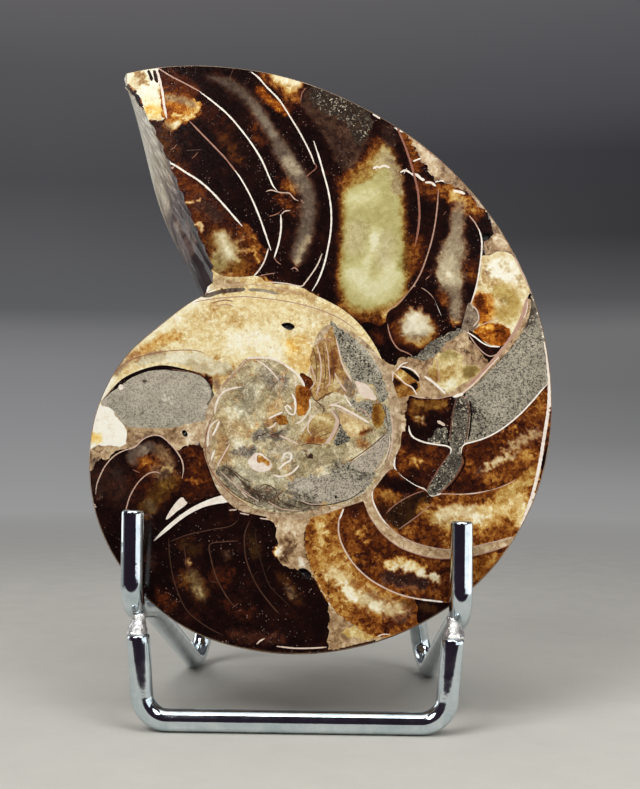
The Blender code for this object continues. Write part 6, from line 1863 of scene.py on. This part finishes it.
LEFT, RIGHT = -1, 1
WIRE_RADIUS = 2.0
WIRE_SIDES = 40
FINGER_X = {LEFT: 29.05, RIGHT: 28.8}
FINGER_Y = 1.0
FINGER_TOP = {LEFT: 38.6, RIGHT: 37.3}
ELBOW_Z = 21.1
ELBOW_BEND = 5.5
LEFT_RAIL_KINK = (-27.75, 16.0, 19.0)  # where the left rail starts to fall more steeply
RAIL_BEND = 30.0
REAR_FOOT = {LEFT: (23.5, 63.95), RIGHT: (26.3, 56.5)}
REAR_BEND = 5.0
BACKREST_TOP = {LEFT: (17.0, 43.6, 66.0), RIGHT: (15.0, 43.6, 66.0)}
BACKREST_BEND = 9.0
FOOT_X = {LEFT: 26.65, RIGHT: 26.1}
FOOT_TOP = {LEFT: (27.7, 17.0), RIGHT: (27.35, 17.0)}
FOOT_BEND = 4.7
BEND_STEP = 3.0  # degrees turned by one piece of a bend
STRAIGHT_STEP = 1.0
WORN_TIP = ((0.0, 0.55), (0.04, 0.78), (0.16, 0.92), (0.42, 0.99))  # how far from the cut, and how wide
WELD_X = {LEFT: -27.95, RIGHT: 27.7}
WELD_Y = 0.4
WELD_BACK = 2.3  # the top of the weld lies this much further back than its foot
WELD_BOTTOM = 16.9
WELD_TOP = 20.3
# How wide the neck is to each side, after its height.
WELD_PROFILE = ((17.05, 1.8), (17.6, 1.76), (18.2, 1.5), (18.8, 1.3), (19.5, 1.2), (20.1, 1.25))
WELD_STEP = 0.16


def bent_path(corners, radii):
    """The centre line through the corners, with each inner corner rounded to its bend radius."""
    corners = [Vector(corner) for corner in corners]
    points = []
    start = corners[0]
    for before, corner, after, radius in zip(corners, corners[1:], corners[2:], radii):
        into = (before - corner).normalized()
        onward = (after - corner).normalized()
        turn = math.pi - into.angle(onward)
        reach = radius * math.tan(turn / 2)
        centre = corner + (into + onward).normalized() * (radius / math.cos(turn / 2))
        first = corner + into * reach
        axis = (first - centre).cross(-into).normalized()
        points += straight(start, first)
        steps = math.ceil(math.degrees(turn) / BEND_STEP)
        turns = (Matrix.Rotation(turn * i / steps, 3, axis) for i in range(steps))
        points += [centre + rotation @ (first - centre) for rotation in turns]
        start = corner + onward * reach
    return points + straight(start, corners[-1]) + [corners[-1]]


def straight(start, end):
    """Points from start to end, without the end point."""
    count = max(1, round((end - start).length / STRAIGHT_STEP))
    return [start.lerp(end, i / count) for i in range(count)]


def backrest_corner(sign):
    """The upper corner of the backrest."""
    x, y, z = BACKREST_TOP[sign]
    return (sign * x, y, z)


def rear_corner(sign, rail_start):
    """The corner of the rear foot, lowered so that the rounded bend just touches the ground."""
    x, y = REAR_FOOT[sign]
    height = 0.0
    for _ in range(4):
        path = bent_path([rail_start, (sign * x, y, height), backrest_corner(sign)], [REAR_BEND])
        height += WIRE_RADIUS - min(point.z for point in path)
    return (sign * x, y, height)


def side_corners(sign):
    """Corners and bend radii of one side of the cradle, from the finger tip to the backrest."""
    x = sign * FINGER_X[sign]
    front = [(x, FINGER_Y, FINGER_TOP[sign]), (x, FINGER_Y, ELBOW_Z)]
    bends = [ELBOW_BEND, REAR_BEND, BACKREST_BEND]
    if sign == LEFT:
        front.append(LEFT_RAIL_KINK)
        bends.insert(1, RAIL_BEND)
    return front + [rear_corner(sign, front[-1]), backrest_corner(sign)], bends


def cradle_path():
    """From the tip of the left finger, round the back, to the tip of the right finger."""
    left, left_bends = side_corners(LEFT)
    right, right_bends = side_corners(RIGHT)
    return bent_path(left + right[::-1], left_bends + right_bends[::-1])


def foot_path():
    """The front foot: down the left leg, along the ground and up the right leg."""
    left_x, left_z = FOOT_TOP[LEFT]
    right_x, right_z = FOOT_TOP[RIGHT]
    corners = [
        (-left_x, 0, left_z),
        (-FOOT_X[LEFT], 0, WIRE_RADIUS),
        (FOOT_X[RIGHT], 0, WIRE_RADIUS),
        (right_x, 0, right_z),
    ]
    return bent_path(corners, [FOOT_BEND, FOOT_BEND])


def tube_rings(points):
    """Rings of points round a path, with cut ends whose edges are ground round."""
    side = Vector((0, -1, 0))
    first, last = points[0], points[-1]
    into, out = (points[1] - first).normalized(), (points[-2] - last).normalized()
    starts = [(first + into * reach, share) for reach, share in WORN_TIP]
    ends = [(last + out * reach, share) for reach, share in reversed(WORN_TIP)]
    path = starts + [(point, 1.0) for point in points[1:-1]] + ends
    rings = []
    for i, (point, share) in enumerate(path):
        along = (path[min(i + 1, len(path) - 1)][0] - path[max(i - 1, 0)][0]).normalized()
        side = (side - along * side.dot(along)).normalized()
        across = along.cross(side)
        ring = []
        for k in range(WIRE_SIDES):
            angle = 2 * math.pi * k / WIRE_SIDES
            ring.append(point + WIRE_RADIUS * share * (math.cos(angle) * side + math.sin(angle) * across))
        rings.append(ring)
    return rings


def new_piece(name, bm, material):
    """A smooth-shaded object from a bmesh in mm, with its faces pointing out."""
    bmesh.ops.recalc_face_normals(bm, faces=bm.faces[:])
    mesh = bpy.data.meshes.new(name)
    bm.to_mesh(mesh)
    bm.free()
    mesh.transform(Matrix.Scale(MM, 4))
    mesh.shade_smooth()
    mesh.materials.append(material)
    return new_object(name, mesh)


def close_rings(bm, rings, start, end):
    """Faces between the rings, with a fan to a middle point at each end."""
    for ring, onward in zip(rings, rings[1:]):
        for k in range(WIRE_SIDES):
            other = (k + 1) % WIRE_SIDES
            bm.faces.new((ring[k], ring[other], onward[other], onward[k]))
    for ring, point in ((rings[0], start), (rings[-1], end)):
        middle = bm.verts.new(point)
        for k in range(WIRE_SIDES):
            bm.faces.new((ring[k], ring[(k + 1) % WIRE_SIDES], middle))


def make_wire(name, path, material):
    """A round wire along the path."""
    bm = bmesh.new()
    rings = [[bm.verts.new(point) for point in ring] for ring in tube_rings(path)]
    close_rings(bm, rings, path[0], path[-1])
    return new_piece(name, bm, material)


def make_weld(name, sign, material):
    """A lumpy neck of weld between the top of the front leg and the underside of the elbow."""
    bm = bmesh.new()
    x, y = WELD_X[sign], WELD_Y
    ends = [(WELD_BOTTOM, 0.0), (WELD_BOTTOM, 1.5)], [(WELD_TOP, 0.9), (WELD_TOP, 0.0)]
    profile = smooth([*ends[0], *WELD_PROFILE, *ends[1]], WELD_STEP)
    rings = []
    for height, reach in profile[1:-1]:
        back = WELD_BACK * (height - WELD_BOTTOM) / (WELD_TOP - WELD_BOTTOM)
        ring = []
        for k in range(WIRE_SIDES):
            turn = 2 * math.pi * k / WIRE_SIDES
            right, rear = math.cos(turn), math.sin(turn)
            lump = 1 + 0.08 * ripple(1.7 * right + 3 * sign, 1.7 * rear, 1.3 * height)
            lump += 0.03 * ripple(6 * right, 6 * rear, 4 * height)
            ring.append(bm.verts.new((x + reach * right * lump, y + back + reach * rear * lump, height)))
        rings.append(ring)
    close_rings(bm, rings, (x, y, WELD_BOTTOM), (x, y + WELD_BACK, WELD_TOP))
    return new_piece(name, bm, material)


# ---- the pieces ----


def assign(piece, node):
    """Says which body carries the piece, which CAD node it replaces."""
    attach(piece, "root")
    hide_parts(node)


fossil = make_fossil()
for make in (calcite, rubble, sediment, matrix, shell, cavity, nacre, outer_shell):
    fossil.data.materials.append(make())
plating = chrome()
bead = weld()
assign(fossil, "nautiloid_half")
assign(make_wire("cradle", cradle_path(), plating), "cradle_wire")
assign(make_wire("front_foot", foot_path(), plating), "front_foot_wire")
assign(make_weld("left_weld", LEFT, bead), "weld_bead_left")
assign(make_weld("right_weld", RIGHT, bead), "weld_bead_right")


# ---- floor, backdrop, light and camera ----

FLOOR_RADIUS = 3.0
FLOOR_FRONT_FADE = (-0.044, -0.037)  # the floor fades out towards the viewer
FLOOR_LEFT_FADE = (-0.17, -0.1)
FLOOR_LEFT_SLANT = 0.35
FLOOR_FAR_FADE = (0.2, 0.5)
LEFT_BACKDROP = (
    (0.0, (60, 60, 58)), (0.05, (165, 165, 160)), (0.16, (157, 157, 156)), (0.26, (145, 145, 146)),
    (0.34, (134, 134, 136)), (0.39, (127, 127, 129)), (0.43, (115, 115, 117)), (0.46, (92, 93, 95)),
    (0.52, (89, 89, 92)), (0.62, (75, 75, 78)), (0.75, (84, 84, 86)), (0.84, (98, 96, 99)),
)
RIGHT_BACKDROP = (
    (0.0, (60, 60, 58)), (0.05, (160, 160, 158)), (0.16, (155, 155, 154)), (0.24, (142, 142, 142)),
    (0.3, (121, 121, 122)), (0.37, (109, 109, 110)), (0.44, (110, 110, 111)), (0.48, (84, 84, 86)),
    (0.56, (56, 56, 58)), (0.66, (56, 56, 60)), (0.72, (74, 73, 77)), (0.86, (92, 91, 94)),
)
CAMERA_PLACE = (7.7, -225.8, 56.2)
CAMERA_LENS = 39.24
CAMERA_SENSOR_HEIGHT = 24.0
CAMERA_YAW = -0.0176  # radians, to the right
CAMERA_PITCH = -0.0132  # radians, downwards
CAMERA_ROLL = 0.0099  # radians


def make_floor():
    """A large pale disc under the stand, whose far parts fade into the backdrop."""
    bm = bmesh.new()
    bmesh.ops.create_circle(bm, cap_ends=True, cap_tris=True, segments=96, radius=FLOOR_RADIUS)
    mesh = bpy.data.meshes.new("floor")
    bm.to_mesh(mesh)
    bm.free()
    f = Finish("floor")
    place = f.coordinates("Object")
    x, y, _ = f.node("ShaderNodeSeparateXYZ", {0: place}).outputs
    reach = f.node("ShaderNodeVectorMath", {0: place}, operation="LENGTH").outputs["Value"]
    cloth = f.noise(9.0, 5, 0.65)
    # Painted light: the floor is painted darker away from the middle, a pool of light painted round the
    # stand; the cloth noise adds its own faint mottling.
    tone = f.add(f.fit(reach, 0.0, 0.4, 0.66, 0.56), f.fit(cloth, 0.3, 0.7, -0.03, 0.03))
    colour = f.ramp(tone, (
        (0.2, (104, 104, 102)), (0.45, (156, 156, 154)), (0.62, (186, 184, 176)), (0.9, (210, 207, 195)),
    ))
    f.finish(colour, 0.8, f.noise(0.8, 3, 0.6), 0.05)
    near = f.math("MINIMUM", f.fit(y, *FLOOR_FRONT_FADE), f.fit(reach, *FLOOR_FAR_FADE, 1.0, 0.0))
    near = f.math("MINIMUM", near, f.fit(f.add(x, f.times(y, FLOOR_LEFT_SLANT)), *FLOOR_LEFT_FADE))
    see_through = f.node("ShaderNodeBsdfTransparent").outputs[0]
    blend = f.node("ShaderNodeMixShader", {0: near, 1: see_through, 2: f.shader.outputs[0]}).outputs[0]
    f.feed(f.tree.nodes["Material Output"].inputs["Surface"], blend)
    mesh.materials.append(f.material)
    new_object("floor", mesh)


def make_world():
    """A dark studio, nearly black on the viewer's side, with a grey backdrop that is paler low down."""
    world = bpy.data.worlds.new("studio")
    bpy.context.scene.world = world
    world.use_nodes = True
    f = Nodes(world.node_tree)
    split = f.node("ShaderNodeSeparateXYZ", {0: f.coordinates("Generated")}).outputs
    height = f.fit(split["Z"], -0.2, 0.4)
    sides = (f.ramp(height, stops) for stops in (LEFT_BACKDROP, RIGHT_BACKDROP))
    backdrop = f.mix(f.fit(split["X"], -0.22, 0.22), *sides)
    colour = f.mix(f.fit(split["Y"], -0.25, 0.25), rgb(44, 33, 44), backdrop)
    f.feed(f.tree.nodes["Background"].inputs["Color"], colour)


def new_lamp(name, width, height, strength):
    """A soft panel of light that the camera does not see. Its power grows with its area."""
    lamp = bpy.data.lights.new(name, "AREA")
    lamp.shape = "RECTANGLE"
    lamp.size = width
    lamp.size_y = height
    lamp.energy = strength * math.pi * lamp.size * lamp.size_y
    item = new_object(name, lamp)
    item.visible_camera = False
    return item


def add_lamp(name, corner, other_corner, bottom, top, strength):
    """An upright panel of light that stands on a line over the floor and faces the object."""
    start, end = Vector((*corner, 0)) * MM, Vector((*other_corner, 0)) * MM
    middle = (start + end) / 2
    middle.z = (bottom + top) / 2 * MM
    along = (end - start).normalized()
    up = Vector((0, 0, 1))
    facing = along.cross(up)
    if facing.dot(Vector((0, 0, middle.z)) - middle) < 0:
        along, facing = -along, -facing
    turned = Matrix((along, up, -facing)).transposed().to_4x4()
    item = new_lamp(name, (end - start).length, (top - bottom) * MM, strength)
    item.matrix_world = Matrix.Translation(middle) @ turned


def add_top_lamp(name, corner, other_corner, height, strength):
    """A panel of light that hangs over the object and faces down."""
    width, depth = (other_corner[0] - corner[0]) * MM, (other_corner[1] - corner[1]) * MM
    item = new_lamp(name, width, depth, strength)
    item.location = Vector((corner[0] + other_corner[0], corner[1] + other_corner[1], 2 * height)) * MM / 2


def aim_camera():
    """The camera as it stood for the photo, a little right of the middle and nearly level."""
    camera = bpy.data.cameras.new("camera")
    camera.sensor_fit = "VERTICAL"
    camera.sensor_height = CAMERA_SENSOR_HEIGHT
    camera.lens = CAMERA_LENS
    camera.clip_start = 0.01
    item = new_object("camera", camera)
    level = math.cos(CAMERA_PITCH)
    ahead = Vector((math.sin(CAMERA_YAW) * level, math.cos(CAMERA_YAW) * level, -math.sin(CAMERA_PITCH)))
    right = Vector((math.cos(CAMERA_YAW), -math.sin(CAMERA_YAW), 0))
    up = right.cross(ahead)
    cosine, sine = math.cos(CAMERA_ROLL), math.sin(CAMERA_ROLL)
    right, up = cosine * right + sine * up, cosine * up - sine * right
    turned = Matrix((right, up, -ahead)).transposed().to_4x4()
    item.matrix_world = Matrix.Translation(Vector(CAMERA_PLACE) * MM) @ turned
    bpy.context.scene.camera = item


make_floor()
make_world()
add_lamp("right_softbox", (130, -400), (330, -230), 280, 560, 5.8)
add_lamp("right_strip", (115, -160), (175, 85), 1, 80, 1.3)
add_lamp("left_softbox", (-130, -400), (-330, -230), 280, 560, 10.5)
add_lamp("left_back_strip", (-300, 60), (-240, 200), 4, 160, 1.7)
add_top_lamp("top_softbox", (-220, 20), (220, 320), 480, 1.2)
add_top_lamp("front_softbox", (-150, -220), (150, -20), 480, 4.0)
aim_camera()
bpy.context.scene.view_settings.view_transform = "Standard"
